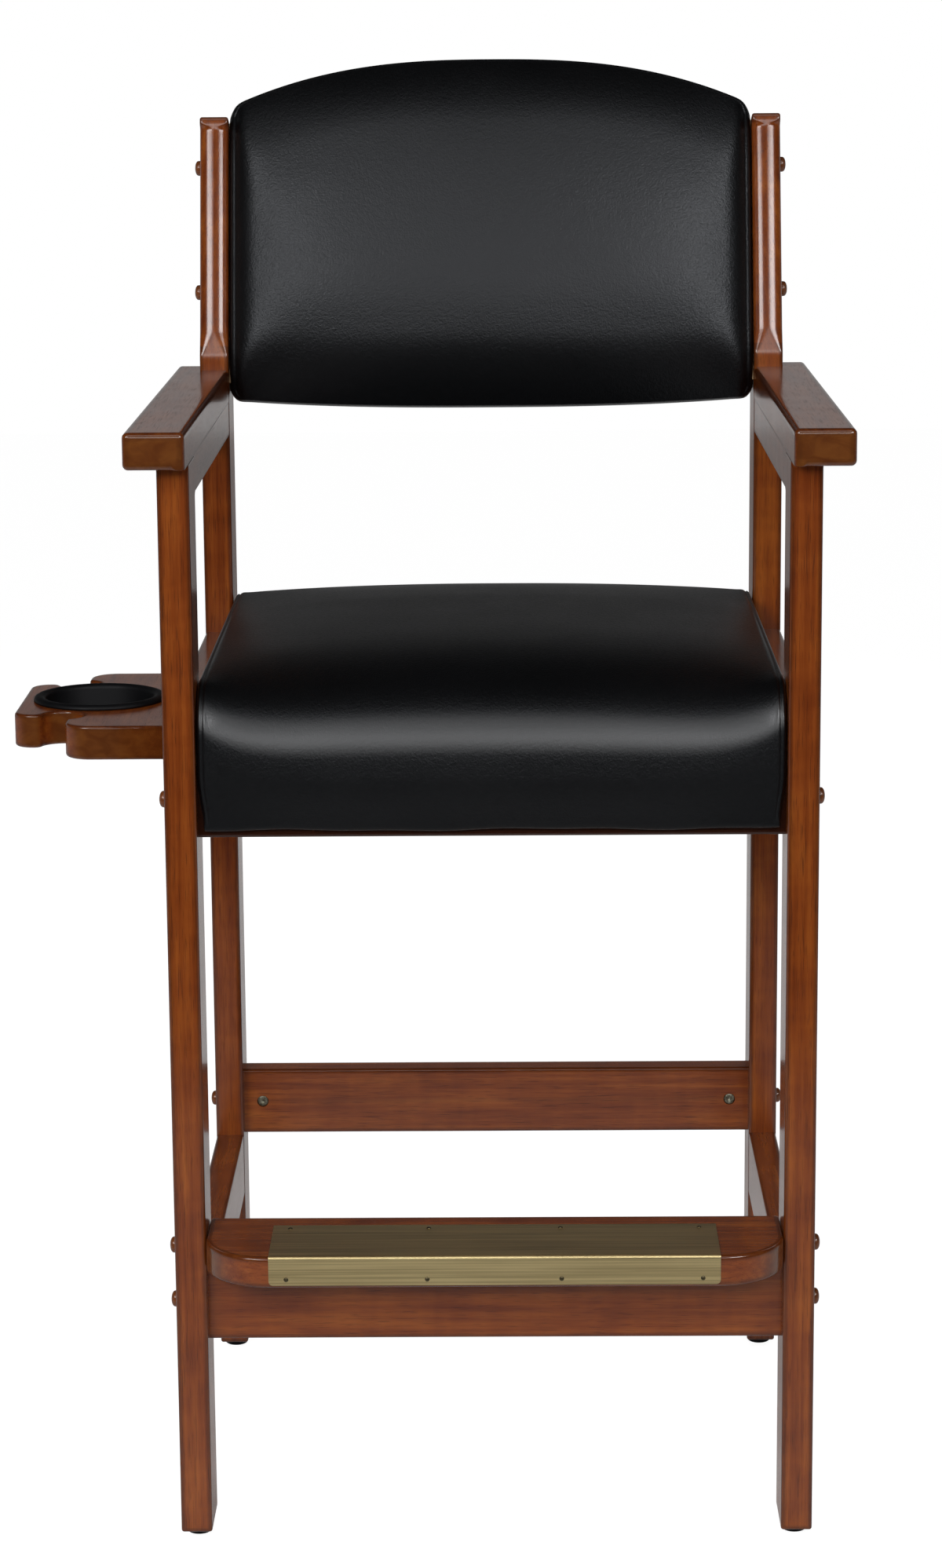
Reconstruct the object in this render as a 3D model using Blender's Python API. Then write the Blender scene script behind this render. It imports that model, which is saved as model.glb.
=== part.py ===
"""Billiard spectator chair, in metres with +Z up.

Two glued side frames are joined by bolted cross members. The seat and the back are upholstered,
a foot board carries a bent brass plate, and a tray on the left holds a cup that lifts out.
Left is -X as seen from the front, and the front of the chair faces -Y. Inside the chair frame,
x = 0 is the middle between the side frames, y = 0 the front face of the front legs and z = 0 the floor.
"""

import math

import bmesh
import bpy
from mathutils import Matrix, Vector

# Sizes shared by many pieces
STOCK = 0.0254
FIT = 0.0003
EASE = 0.0022
MERGE = 0.000001

# Side frames
FRAME_WIDTH = 0.518
LEG_DEPTH = 0.058
LEG_PITCH = 0.4516
TENON_SHOULDER = 0.008
TENON_END_WALL = 0.004
ARM_TOP = 0.920
ARM_THICK = 0.029
ARM_WIDTH = 0.0482
ARM_OVERHANG = 0.0353
ARM_TAIL = 0.0435
ARM_EASE = 0.003
ARM_TENON = 0.016
ARM_RAIL_HEIGHT = 0.030
ARM_RAIL_COVE = 0.010
COVE_LIP = 0.001
SIDE_RAIL_HEIGHT = 0.093
SIDE_STRETCHER_BOTTOM = 0.1543
SIDE_STRETCHER_HEIGHT = 0.058

# Raked posts above the arms
POST_RAKE = math.radians(16.0)
POST_BEND = 0.060
POST_RISE = 0.212
POST_ROUND = 0.008
POST_ROUND_START = 0.036
POST_ROUND_STOP = 0.020
POST_ROUND_FADE = 0.014

# Cross members
SEAT_RAIL_BOTTOM = 0.5912
SEAT_RAIL_HEIGHT = 0.058
REAR_STRETCHER_BOTTOM = 0.2095
REAR_STRETCHER_HEIGHT = 0.0605
FRONT_STRETCHER_BOTTOM = 0.1715
FOOT_BOARD_TOP = 0.2639
FOOT_BOARD_FRONT = 0.0530
FOOT_BOARD_BACK = 0.0510
FOOT_BOARD_CORNER = 0.0530
FOOT_BOARD_ROUND = 0.003
PLATE_THICK = 0.0009
PLATE_BEND = 0.0021
PLATE_LENGTH = 0.360
PLATE_DEPTH = 0.080
PLATE_DROP = 0.0240

# Bolts with domed caps, barrel nuts, glides and screws
BOLT_RADIUS = 0.003
BOLT_TIP = 0.007
FOOT_BOLT_DROP = 0.003
CAP_RADIUS = 0.0064
CAP_HEIGHT = 0.005
CAP_EDGE = 0.0012
NUT_RADIUS = 0.005
NUT_LENGTH = 0.018
NUT_INSET = 0.0171
NUT_RECESS = 0.0005
GLIDE_RADIUS = 0.0106
GLIDE_HEIGHT = 0.0095
GLIDE_ROUND = 0.0018
GLIDE_NAIL_RADIUS = 0.0015
GLIDE_NAIL_LENGTH = 0.014
SCREW_RADIUS = 0.0022
SCREW_HEAD_RADIUS = 0.0045
SCREW_HEAD_DEPTH = 0.0026
SCREW_BITE = 0.024
SCREW_SPREAD = 0.160

# Seat
SEAT_PANEL_THICK = 0.012
SEAT_PANEL_INSET = 0.003
SEAT_GAP = 0.0012
SEAT_FRONT = 0.002
SEAT_FRONT_BULGE = 0.006
SEAT_PAST_LEG = 0.0344
SEAT_EDGE_HEIGHT = 0.0550
SEAT_CROWN = 0.013
SEAT_FRONT_ROUND = 0.042
SEAT_BACK_ROUND = 0.018
SEAT_SKIRT_REVEAL = 0.0100
SEAT_DRAW_IN = 0.0016

# Back, measured up the rake from where it starts and back from the front of the posts
BACK_GAP = 0.0010
BACK_BOTTOM = -0.048
BACK_BELLY = 0.007
BACK_TOP = 0.266
BACK_ARCH = 0.040
BACK_ARCH_POWER = 2.6
BACK_FRONT = 0.014
BACK_CROWN = 0.014
BACK_EDGE_DROP = 0.013
BACK_REAR_PAD = 0.008
BACK_FRONT_ROUND = 0.018
BACK_REAR_ROUND = 0.008
BACK_DRAW_IN = 0.0016
BACK_PANEL_MARGIN = 0.016
BACK_BOLT_LOW = 0.059
BACK_BOLT_HIGH = 0.172

# Tray and cup
TRAY_RISE = 0.0685
TRAY_THICK = 0.028
TRAY_MIDDLE = 0.2560
TRAY_WIDTH = 0.094
TAB_FROM_END = 0.052
TAB_REACH = 0.1415
TAB_LIP = 0.0168
TRAY_CORNER = 0.022
TAB_CORNER = 0.016
NOTCH_RADIUS = 0.018
NOTCH_OUT = 0.100
NOTCH_ROUND_TAB = 0.008
NOTCH_ROUND_PRONG = 0.005
CUP_OUT = 0.0758
CUP_RADIUS = 0.0460
CUP_WALL = 0.0022
CUP_DEPTH = 0.0295
CUP_TAPER = 0.003
CUP_RIM_RADIUS = 0.0562
CUP_RIM_HEIGHT = 0.0042

# Places that follow from the sizes
HALF_WIDTH = FRAME_WIDTH / 2
INNER = HALF_WIDTH - STOCK
MEMBER_HALF = INNER - FIT
LEG_MIDDLE = LEG_DEPTH / 2
LEG_BOTTOM = GLIDE_HEIGHT + FIT
ARM_BOTTOM = ARM_TOP - ARM_THICK
SEAT_RAIL_TOP = SEAT_RAIL_BOTTOM + SEAT_RAIL_HEIGHT
SEAT_PANEL_TOP = SEAT_RAIL_TOP + FIT + SEAT_PANEL_THICK
SEAT_UNDERSIDE = SEAT_PANEL_TOP + FIT
SEAT_EDGE = SEAT_UNDERSIDE + SEAT_EDGE_HEIGHT
SKIRT_BOTTOM = SEAT_RAIL_BOTTOM + SEAT_SKIRT_REVEAL
SEAT_BACK = LEG_PITCH + SEAT_PAST_LEG
TRAY_TOP = SEAT_RAIL_BOTTOM + TRAY_RISE
TAB_LENGTH = 2 * (CUP_RIM_RADIUS + TAB_LIP)
TRAY_LENGTH = TAB_LENGTH + 2 * TAB_FROM_END
MEMBER_FRONT = LEG_MIDDLE - STOCK / 2
MEMBER_BACK = LEG_MIDDLE + STOCK / 2
FOOT_BOARD_BOTTOM = FOOT_BOARD_TOP - STOCK
TENON_LENGTH = LEG_MIDDLE - BOLT_RADIUS - FIT - TENON_END_WALL
TENON_THICK = STOCK / 3
POST_FRONT_BEND = POST_BEND + LEG_DEPTH
BACK_START = ARM_TOP + POST_FRONT_BEND * math.tan(POST_RAKE / 2)
BOLT_LENGTH = FIT + STOCK + FIT + NUT_INSET + NUT_RADIUS + BOLT_TIP
CUP_BODY = CUP_RADIUS + CUP_WALL
SIDES = {"left": -1, "right": 1}


def clear_scene():
    for thing in list(bpy.data.objects):
        bpy.data.objects.remove(thing, do_unlink=True)


def make_material(name, colour, roughness, metallic=0.0):
    material = bpy.data.materials.new(name)
    material.use_nodes = True
    shader = material.node_tree.nodes["Principled BSDF"]
    shader.inputs["Base Color"].default_value = (*colour, 1.0)
    shader.inputs["Roughness"].default_value = roughness
    shader.inputs["Metallic"].default_value = metallic
    return material


def make_empty(name, parent=None, place=(0, 0, 0), turn=(0, 0, 0)):
    empty = bpy.data.objects.new(name, None)
    empty.location = place
    empty.rotation_euler = turn
    empty.parent = parent
    bpy.context.scene.collection.objects.link(empty)
    return empty


def make_piece(name, shape, material, parent, place=(0, 0, 0), turn=(0, 0, 0)):
    """A named sub-part from a bmesh, placed inside its parent."""
    bmesh.ops.recalc_face_normals(shape, faces=shape.faces)
    mesh = bpy.data.meshes.new(name)
    shape.to_mesh(mesh)
    shape.free()
    piece = bpy.data.objects.new(name, mesh)
    piece.location = place
    piece.rotation_euler = turn
    piece.parent = parent
    if material:
        mesh.materials.append(material)
    bpy.context.scene.collection.objects.link(piece)
    return piece


def make_tool(name, shape, parent, place=(0, 0, 0), turn=(0, 0, 0)):
    """A hidden body that is cut out of a piece or joined to it."""
    tool = make_piece(name, shape, None, parent, place, turn)
    tool.hide_render = True
    tool.display_type = "WIRE"
    return tool


def combine(piece, tool, operation="DIFFERENCE"):
    modifier = piece.modifiers.new(tool.name, "BOOLEAN")
    modifier.operation = operation
    modifier.solver = "EXACT"
    modifier.object = tool


def loft(rings):
    """A closed solid through rings of equally many points, capped at both ends."""
    shape = bmesh.new()
    loops = []
    for ring in rings:
        loops.append([shape.verts.new(point) for point in ring])
    for near, far in zip(loops, loops[1:]):
        for i in range(len(near)):
            shape.faces.new((near[i - 1], near[i], far[i], far[i - 1]))
    shape.faces.new(loops[0])
    shape.faces.new(loops[-1])
    bmesh.ops.recalc_face_normals(shape, faces=shape.faces)
    return shape


def padded_loft(rings):
    """A smooth soft body through its rings. The end caps aren't flat, so they are split into triangles."""
    shape = loft(rings)
    for face in shape.faces:
        face.smooth = True
    bmesh.ops.triangulate(shape, faces=shape.faces)
    return shape


def prism(outline, axis, low, high):
    """A flat outline pushed from low to high along the axis, with the other two axes in order."""
    rings = []
    for depth in (low, high):
        ring = []
        for first, second in outline:
            point = [first, second]
            point.insert("xyz".index(axis), depth)
            ring.append(point)
        rings.append(ring)
    return loft(rings)


def block(low, high):
    x_low, x_high = sorted((low[0], high[0]))
    outline = [(low[1], low[2]), (high[1], low[2]), (high[1], high[2]), (low[1], high[2])]
    return prism(outline, "x", x_low, x_high)


def rod(radius, start, end, sides=16):
    """A round bar along Z from start to end."""
    shape = bmesh.new()
    depth = end - start
    bmesh.ops.create_cone(shape, cap_ends=True, segments=sides, radius1=radius, radius2=radius, depth=depth)
    bmesh.ops.translate(shape, vec=(0, 0, start + depth / 2), verts=shape.verts)
    return shape


def lathe(profile, sides):
    """A solid of revolution about Z. The profile of (radius, height) starts and ends on the axis."""
    shape = bmesh.new()
    points = [shape.verts.new((radius, 0, height)) for radius, height in profile]
    lines = [shape.edges.new(pair) for pair in zip(points, points[1:])]
    turn = {"cent": (0, 0, 0), "axis": (0, 0, 1), "angle": math.tau, "steps": sides, "use_merge": True}
    bmesh.ops.spin(shape, geom=points + lines, **turn)
    bmesh.ops.remove_doubles(shape, verts=shape.verts, dist=MERGE)
    for face in shape.faces:
        face.smooth = True
    return shape


def arc(centre, radius, start, end, steps):
    """Points on an arc, with both ends, angles in degrees."""
    points = []
    for i in range(steps + 1):
        angle = math.radians(start + (end - start) * i / steps)
        points.append((centre[0] + radius * math.cos(angle), centre[1] + radius * math.sin(angle)))
    return points


def weigh_edges(shape, weight_of):
    """Gives each edge the share of the bevel width that weight_of says."""
    layer = shape.edges.layers.float.new("bevel_weight_edge")
    for edge in shape.edges:
        edge[layer] = weight_of(edge)


def outer_corner(edge):
    """1 on the sharp outward edges of a solid, 0 elsewhere."""
    return 1.0 if edge.is_convex and edge.calc_face_angle() > math.radians(35) else 0.0


def runs_along(axis):
    """A weight that picks only the outward edges lying along one axis."""
    index = "xyz".index(axis)

    def weight(edge):
        along = abs((edge.verts[0].co - edge.verts[1].co).normalized()[index])
        return outer_corner(edge) if along > 0.99 else 0.0

    return weight


def round_edges(piece, width, segments=2):
    modifier = piece.modifiers.new("eased_edges", "BEVEL")
    modifier.limit_method = "WEIGHT"
    modifier.width = width
    modifier.segments = segments


def make_board(name, shape, material, parent, weight_of=outer_corner, width=EASE, segments=2):
    """A wooden piece with its chosen edges eased."""
    weigh_edges(shape, weight_of)
    board = make_piece(name, shape, material, parent)
    round_edges(board, width, segments)
    return board


def front_leg(name, side, wood, frame):
    outline = [
        (0, LEG_BOTTOM),
        (LEG_DEPTH, LEG_BOTTOM),
        (LEG_DEPTH, ARM_BOTTOM - FIT),
        (0, ARM_BOTTOM - FIT),
    ]
    x_low, x_high = sorted((side * INNER, side * HALF_WIDTH))
    return make_board(name, prism(outline, "x", x_low, x_high), wood, frame)


def on_rake(up, back):
    """A (y, z) place in the chair frame from a place on the raked back."""
    y = LEG_PITCH + up * math.sin(POST_RAKE) + back * math.cos(POST_RAKE)
    z = BACK_START + up * math.cos(POST_RAKE) - back * math.sin(POST_RAKE)
    return y, z


def back_leg(name, side, wood, frame):
    """One board: upright to the arm, then bent back into the post with rounded front edges."""
    rake = math.degrees(POST_RAKE)
    bend_centre = (LEG_PITCH + POST_FRONT_BEND, ARM_TOP)
    round_marks = [
        POST_ROUND_START,
        POST_ROUND_START + POST_ROUND_FADE,
        POST_RISE - POST_ROUND_STOP - POST_ROUND_FADE,
        POST_RISE - POST_ROUND_STOP,
        POST_RISE,
    ]
    outline = [(LEG_PITCH, LEG_BOTTOM)]
    outline += arc(bend_centre, POST_FRONT_BEND, 180, 180 - rake, 3)
    outline += [on_rake(up, 0) for up in round_marks]
    outline.append(on_rake(POST_RISE, LEG_DEPTH))
    outline += arc(bend_centre, POST_BEND, 180 - rake, 180, 3)
    outline.append((LEG_PITCH + LEG_DEPTH, LEG_BOTTOM))
    full_low = Vector(on_rake(round_marks[1], 0))
    full_high = Vector(on_rake(round_marks[2], 0))

    def weight(edge):
        plain = outer_corner(edge) * EASE / POST_ROUND
        ends = [Vector((vert.co.y, vert.co.z)) for vert in edge.verts]
        in_full = all(full_low.y - MERGE < end.y < full_high.y + MERGE for end in ends)
        on_front = all((end - full_low).cross(full_high - full_low) ** 2 < MERGE**2 for end in ends)
        return 1.0 if plain and in_full and on_front else plain

    x_low, x_high = sorted((side * INNER, side * HALF_WIDTH))
    shape = prism(outline, "x", x_low, x_high)
    return make_board(name, shape, wood, frame, weight, POST_ROUND, 4)


def arm(name, side, wood, frame):
    """The arm board, notched at the back round the outer face of the post."""
    post_face = LEG_PITCH - FIT
    tail = LEG_PITCH + ARM_TAIL
    outline = [
        (side * INNER, -ARM_OVERHANG),
        (side * (INNER + ARM_WIDTH), -ARM_OVERHANG),
        (side * (INNER + ARM_WIDTH), tail),
        (side * (HALF_WIDTH + FIT), tail),
        (side * (HALF_WIDTH + FIT), post_face),
        (side * INNER, post_face),
    ]
    return make_board(name, prism(outline, "z", ARM_BOTTOM, ARM_TOP), wood, frame, width=ARM_EASE, segments=3)


def tenon_box(side, low, high, grow=0.0):
    """The bar that makes both tenons of a side board, or both mortises when it is grown."""
    middle = side * (HALF_WIDTH - STOCK / 2)
    half = TENON_THICK / 2 + grow
    reach = TENON_LENGTH + grow
    near = LEG_DEPTH - reach
    far = LEG_PITCH + reach
    return block(
        (middle - half, near, low + TENON_SHOULDER - grow),
        (middle + half, far, high - TENON_SHOULDER + grow),
    )


def side_board(name, side, low, high, wood, frame, legs, cove=0.0):
    """A board of the side frame between the legs, tenoned into both."""
    near = LEG_DEPTH + FIT
    far = LEG_PITCH - FIT
    outline = [(far, low), (far, high), (near, high)]
    if cove:
        outline += arc((near + COVE_LIP + cove, low - cove), cove, 180, 90, 6)
        outline.insert(3, (near, low - cove))
    else:
        outline.append((near, low))
    x_low, x_high = sorted((side * INNER, side * HALF_WIDTH))
    board = make_board(name, prism(outline, "x", x_low, x_high), wood, frame, runs_along("y"))
    combine(board, make_tool(name + "_tenons", tenon_box(side, low, high), frame), "UNION")
    mortises = make_tool(name + "_mortises", tenon_box(side, low, high, FIT), frame)
    for leg in legs:
        combine(leg, mortises)
    return board


def arm_tenon(side, grow=0.0):
    middle = side * (HALF_WIDTH - STOCK / 2)
    half = TENON_THICK / 2 + grow
    low = (middle - half, TENON_SHOULDER - grow, ARM_BOTTOM - ARM_RAIL_HEIGHT / 4)
    high = (middle + half, LEG_DEPTH - TENON_SHOULDER + grow, ARM_BOTTOM + ARM_TENON + grow)
    return block(low, high)


def glide(name, place, material, frame, leg):
    """A nail-on glide with its nail driven into the foot of the leg."""
    nail_top = GLIDE_HEIGHT + GLIDE_NAIL_LENGTH
    profile = [
        (0, nail_top),
        (GLIDE_NAIL_RADIUS, nail_top - GLIDE_NAIL_RADIUS),
        (GLIDE_NAIL_RADIUS, GLIDE_HEIGHT),
        (GLIDE_RADIUS, GLIDE_HEIGHT),
    ]
    profile += arc((GLIDE_RADIUS - GLIDE_ROUND, GLIDE_ROUND), GLIDE_ROUND, 0, -90, 3)
    profile.append((0, 0))
    make_piece(name, lathe(profile, 20), material, frame, place)
    hole = rod(GLIDE_NAIL_RADIUS + FIT, 0, nail_top + FIT, 8)
    combine(leg, make_tool(name + "_hole", hole, frame, place))


def side_frame(word, side, materials, frame):
    """One glued side frame. Returns its two legs and its seat side rail."""
    wood = materials["wood"]
    front = front_leg(f"front_leg_{word}", side, wood, frame)
    back = back_leg(f"back_leg_{word}", side, wood, frame)
    legs = (front, back)
    low = ARM_BOTTOM - ARM_RAIL_HEIGHT
    side_board(f"arm_rail_{word}", side, low, ARM_BOTTOM - FIT, wood, frame, legs, ARM_RAIL_COVE)
    rail_top = SEAT_RAIL_BOTTOM + SIDE_RAIL_HEIGHT
    rail = side_board(f"seat_side_rail_{word}", side, SEAT_RAIL_BOTTOM, rail_top, wood, frame, legs)
    top = SIDE_STRETCHER_BOTTOM + SIDE_STRETCHER_HEIGHT
    side_board(f"side_stretcher_{word}", side, SIDE_STRETCHER_BOTTOM, top, wood, frame, legs)
    board = arm(f"arm_{word}", side, wood, frame)
    combine(front, make_tool(f"arm_tenon_{word}", arm_tenon(side), frame), "UNION")
    combine(board, make_tool(f"arm_mortise_{word}", arm_tenon(side, FIT), frame))
    foot = side * (HALF_WIDTH - STOCK / 2)
    glide(f"glide_front_{word}", (foot, LEG_MIDDLE, 0), materials["glide"], frame, front)
    glide(f"glide_back_{word}", (foot, LEG_PITCH + LEG_MIDDLE, 0), materials["glide"], frame, back)
    return front, back, rail


def cross_member(name, front, low, high, wood, frame):
    """A straight board from side frame to side frame, one stock thick."""
    shape = block((-MEMBER_HALF, front, low), (MEMBER_HALF, front + STOCK, high))
    return make_board(name, shape, wood, frame, runs_along("x"))


def foot_board(wood, frame):
    """A board with its front corners rounded to a wide arc and its rim rounded over."""
    middle = MEMBER_HALF - FOOT_BOARD_CORNER
    corner_y = FOOT_BOARD_CORNER - FOOT_BOARD_FRONT
    outline = [(MEMBER_HALF, FOOT_BOARD_BACK), (-MEMBER_HALF, FOOT_BOARD_BACK)]
    outline += arc((-middle, corner_y), FOOT_BOARD_CORNER, 180, 270, 8)
    outline += arc((middle, corner_y), FOOT_BOARD_CORNER, 270, 360, 8)
    shape = prism(outline, "z", FOOT_BOARD_BOTTOM, FOOT_BOARD_TOP)
    return make_board("foot_board", shape, wood, frame, width=FOOT_BOARD_ROUND, segments=3)


def foot_plate(brass, frame):
    """Sheet brass bent over the front edge of the foot board."""
    under = FOOT_BOARD_TOP + FIT
    inside = -FOOT_BOARD_FRONT - FIT
    outside = inside - PLATE_THICK
    top = under + PLATE_THICK
    bend = (outside + PLATE_BEND, top - PLATE_BEND)
    low = top - PLATE_DROP
    back = outside + PLATE_DEPTH
    outline = [(back, under), (back, top)]
    outline += arc(bend, PLATE_BEND, 90, 180, 4)
    outline += [(outside, low), (inside, low)]
    outline += arc(bend, PLATE_BEND - PLATE_THICK, 180, 90, 4)
    make_piece("foot_plate", prism(outline, "x", -PLATE_LENGTH / 2, PLATE_LENGTH / 2), brass, frame)


def bolt_profile():
    cap = CAP_HEIGHT - CAP_EDGE
    profile = [(0, CAP_HEIGHT)]
    for angle in (25, 50, 72, 90):
        turn = math.radians(angle)
        profile.append((CAP_RADIUS * math.sin(turn), CAP_EDGE + cap * math.cos(turn)))
    profile += [(CAP_RADIUS, 0), (BOLT_RADIUS, 0), (BOLT_RADIUS, -BOLT_LENGTH), (0, -BOLT_LENGTH)]
    return profile


def bolted_joint(name, parent, place, nut_face, nut_turn, materials, leg_of, member):
    """A bolt from each side through a leg into a barrel nut in the cross member.

    place is the (y, z) of the bolts and nut_face the distance from there to the face where the nut goes in.
    """
    nut_way = Matrix.Rotation(nut_turn, 3, "X") @ Vector((0, 0, 1))
    for word, side in SIDES.items():
        turn = (0, side * math.pi / 2, 0)
        head = (side * (HALF_WIDTH + FIT), *place)
        make_piece(f"bolt_{name}_{word}", lathe(bolt_profile(), 16), materials["cap"], parent, head, turn)
        shank = rod(BOLT_RADIUS + FIT, -BOLT_LENGTH - FIT, CAP_HEIGHT)
        hole = make_tool(f"bolt_hole_{name}_{word}", shank, parent, head, turn)
        mouth = Vector((side * (INNER - NUT_INSET), *place)) - nut_way * nut_face
        nut_shape = rod(NUT_RADIUS, NUT_RECESS, NUT_RECESS + NUT_LENGTH)
        nut_name = f"barrel_nut_{name}_{word}"
        nut = make_piece(nut_name, nut_shape, materials["steel"], parent, mouth, (nut_turn, 0, 0))
        bore = rod(NUT_RADIUS + FIT, -NUT_RADIUS, NUT_RECESS + NUT_LENGTH + FIT)
        pocket = make_tool(f"nut_hole_{name}_{word}", bore, parent, mouth, (nut_turn, 0, 0))
        combine(leg_of[word], hole)
        combine(member, hole)
        combine(member, pocket)
        combine(nut, hole)


def seat_profile(across):
    """The (y, z) section of the seat at a share across, from 0 in the middle to 1 at the side seam."""
    swell = 1 - across**2.6
    front = SEAT_FRONT - SEAT_FRONT_BULGE * swell
    top = SEAT_EDGE + SEAT_CROWN * swell
    rail_face = MEMBER_FRONT - FIT
    roll = SEAT_FRONT_ROUND
    section = [(rail_face, SKIRT_BOTTOM), (front + SEAT_FRONT_BULGE * swell, SKIRT_BOTTOM)]
    section.append((front, SKIRT_BOTTOM + (top - SKIRT_BOTTOM) * 0.3))
    section += arc((front + roll, top - roll), roll, 180, 90, 7)
    deep = SEAT_BACK - SEAT_BACK_ROUND
    for share in (0.25, 0.5, 0.75):
        y = front + roll + (deep - front - roll) * share
        section.append((y, top + SEAT_CROWN * 0.15 * swell * math.sin(math.pi * share)))
    drop = SEAT_CROWN * 0.45 * swell
    section += arc((deep, top - drop - SEAT_BACK_ROUND), SEAT_BACK_ROUND, 90, 0, 4)
    section += [(SEAT_BACK, SEAT_UNDERSIDE), (rail_face, SEAT_UNDERSIDE)]
    return section


def seat_cushion(leather, frame):
    """The crowned seat, with a skirt that hangs in front of the seat front rail."""
    half = INNER - SEAT_GAP
    middle = (SEAT_FRONT + SEAT_BACK) / 2
    reach = (SEAT_BACK - SEAT_FRONT) / 2
    rings = []
    for step in range(-8, 9):
        across = math.sin(math.pi / 2 * step / 8)
        ring = []
        for y, z in seat_profile(abs(across)):
            drawn = SEAT_DRAW_IN * (1 - ((y - middle) / reach) ** 2) * abs(across) ** 8
            ring.append((across * half - math.copysign(drawn, across), y, z))
        rings.append(ring)
    shape = padded_loft(rings)
    return make_piece("seat_cushion", shape, leather, frame)


def back_low(across):
    """Height of the bottom of the back at a share across, lowest in the middle."""
    return BACK_BOTTOM + BACK_BELLY * abs(across) ** BACK_ARCH_POWER


def back_top(across):
    """Height of the arched top of the back at a share across."""
    return BACK_TOP - BACK_ARCH * abs(across) ** BACK_ARCH_POWER


def back_profile(across):
    """The (back, up) section of the back cushion at a share across from the middle."""
    swell = 1 - across**2.6
    face = BACK_FRONT - BACK_EDGE_DROP * across**10
    top = back_top(across)
    low = back_low(across)
    rear = MEMBER_BACK + BACK_REAR_PAD
    roll = BACK_FRONT_ROUND
    turn = BACK_REAR_ROUND
    section = arc((-face + roll, low + roll), roll, 270, 180, 5)
    for share in (0.15, 0.32, 0.5, 0.68, 0.85):
        up = low + roll + (top - low - 2 * roll) * share
        section.append((-face - BACK_CROWN * swell * (1 - abs(2 * share - 1) ** 2.6), up))
    section += arc((-face + roll, top - roll), roll, 180, 90, 5)
    section += arc((rear - turn, top - turn), turn, 90, 0, 3)
    section += arc((rear - turn, low + turn), turn, 0, -90, 3)
    return section


def back_panel_outline(reach, grow=0.0):
    """The (x, up) outline of the core panel under the arch of the cushion, with its ends at reach."""
    low = back_low(1) + BACK_PANEL_MARGIN - grow
    outline = [(reach, low), (-reach, low)]
    for step in range(-6, 7):
        x = MEMBER_HALF * step / 6
        up = back_top(x / INNER) - BACK_PANEL_MARGIN + grow
        outline.append((math.copysign(reach, x) if abs(step) == 6 else x, up))
    return outline


def back_cushion(leather, rake):
    """The upholstered back: a padded sleeve round the core panel."""
    half = INNER - BACK_GAP
    middle = (BACK_BOTTOM + BACK_TOP) / 2
    reach = (BACK_TOP - BACK_BOTTOM) / 2
    rings = []
    for step in range(-8, 9):
        across = math.sin(math.pi / 2 * step / 8)
        ring = []
        for back, up in back_profile(abs(across)):
            drawn = BACK_DRAW_IN * (1 - ((up - middle) / reach) ** 2) * abs(across) ** 8
            ring.append((across * half - math.copysign(drawn, across), back, up))
        rings.append(ring)
    shape = padded_loft(rings)
    cushion = make_piece("back_cushion", shape, leather, rake)
    sleeve = prism(back_panel_outline(HALF_WIDTH, FIT), "y", MEMBER_FRONT - FIT, MEMBER_BACK + FIT)
    combine(cushion, make_tool("back_sleeve", sleeve, rake))
    return cushion


def notch_half(line):
    """One prong, cue notch and tab corner, as (out, along) points. line is the edge of the tab."""
    end = TRAY_LENGTH / 2
    points = arc((TRAY_WIDTH - TRAY_CORNER, TRAY_CORNER - end), TRAY_CORNER, 270, 360, 5)
    centre = (NOTCH_OUT, line)
    prong = NOTCH_ROUND_PRONG
    side_step = TRAY_WIDTH - prong - NOTCH_OUT
    prong_drop = math.sqrt((NOTCH_RADIUS + prong) ** 2 - side_step**2)
    prong_centre = (TRAY_WIDTH - prong, line - prong_drop)
    meet_prong = math.degrees(math.atan2(-prong_drop, side_step))
    points += arc(prong_centre, prong, 0, meet_prong + 180, 3)
    tab = NOTCH_ROUND_TAB
    tab_step = math.sqrt((NOTCH_RADIUS + tab) ** 2 - tab**2)
    tab_centre = (NOTCH_OUT + tab_step, line + tab)
    meet_tab = math.degrees(math.atan2(tab, tab_step))
    points += arc(centre, NOTCH_RADIUS, meet_prong + 360, meet_tab, 12)[1:]
    points += arc(tab_centre, tab, meet_tab + 180, 270, 3)[1:]
    points += arc((TAB_REACH - TAB_CORNER, line + TAB_CORNER), TAB_CORNER, 270, 360, 5)
    return points


def tray_outline():
    """The tray from above: two prongs, a cue notch beside each, and a tab for the cup."""
    half = notch_half(-TAB_LENGTH / 2)
    front = [(FIT, -TRAY_LENGTH / 2)] + half
    whole = front + [(out, -along) for out, along in reversed(front)]
    return [(-HALF_WIDTH - out, TRAY_MIDDLE + along) for out, along in whole]


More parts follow.
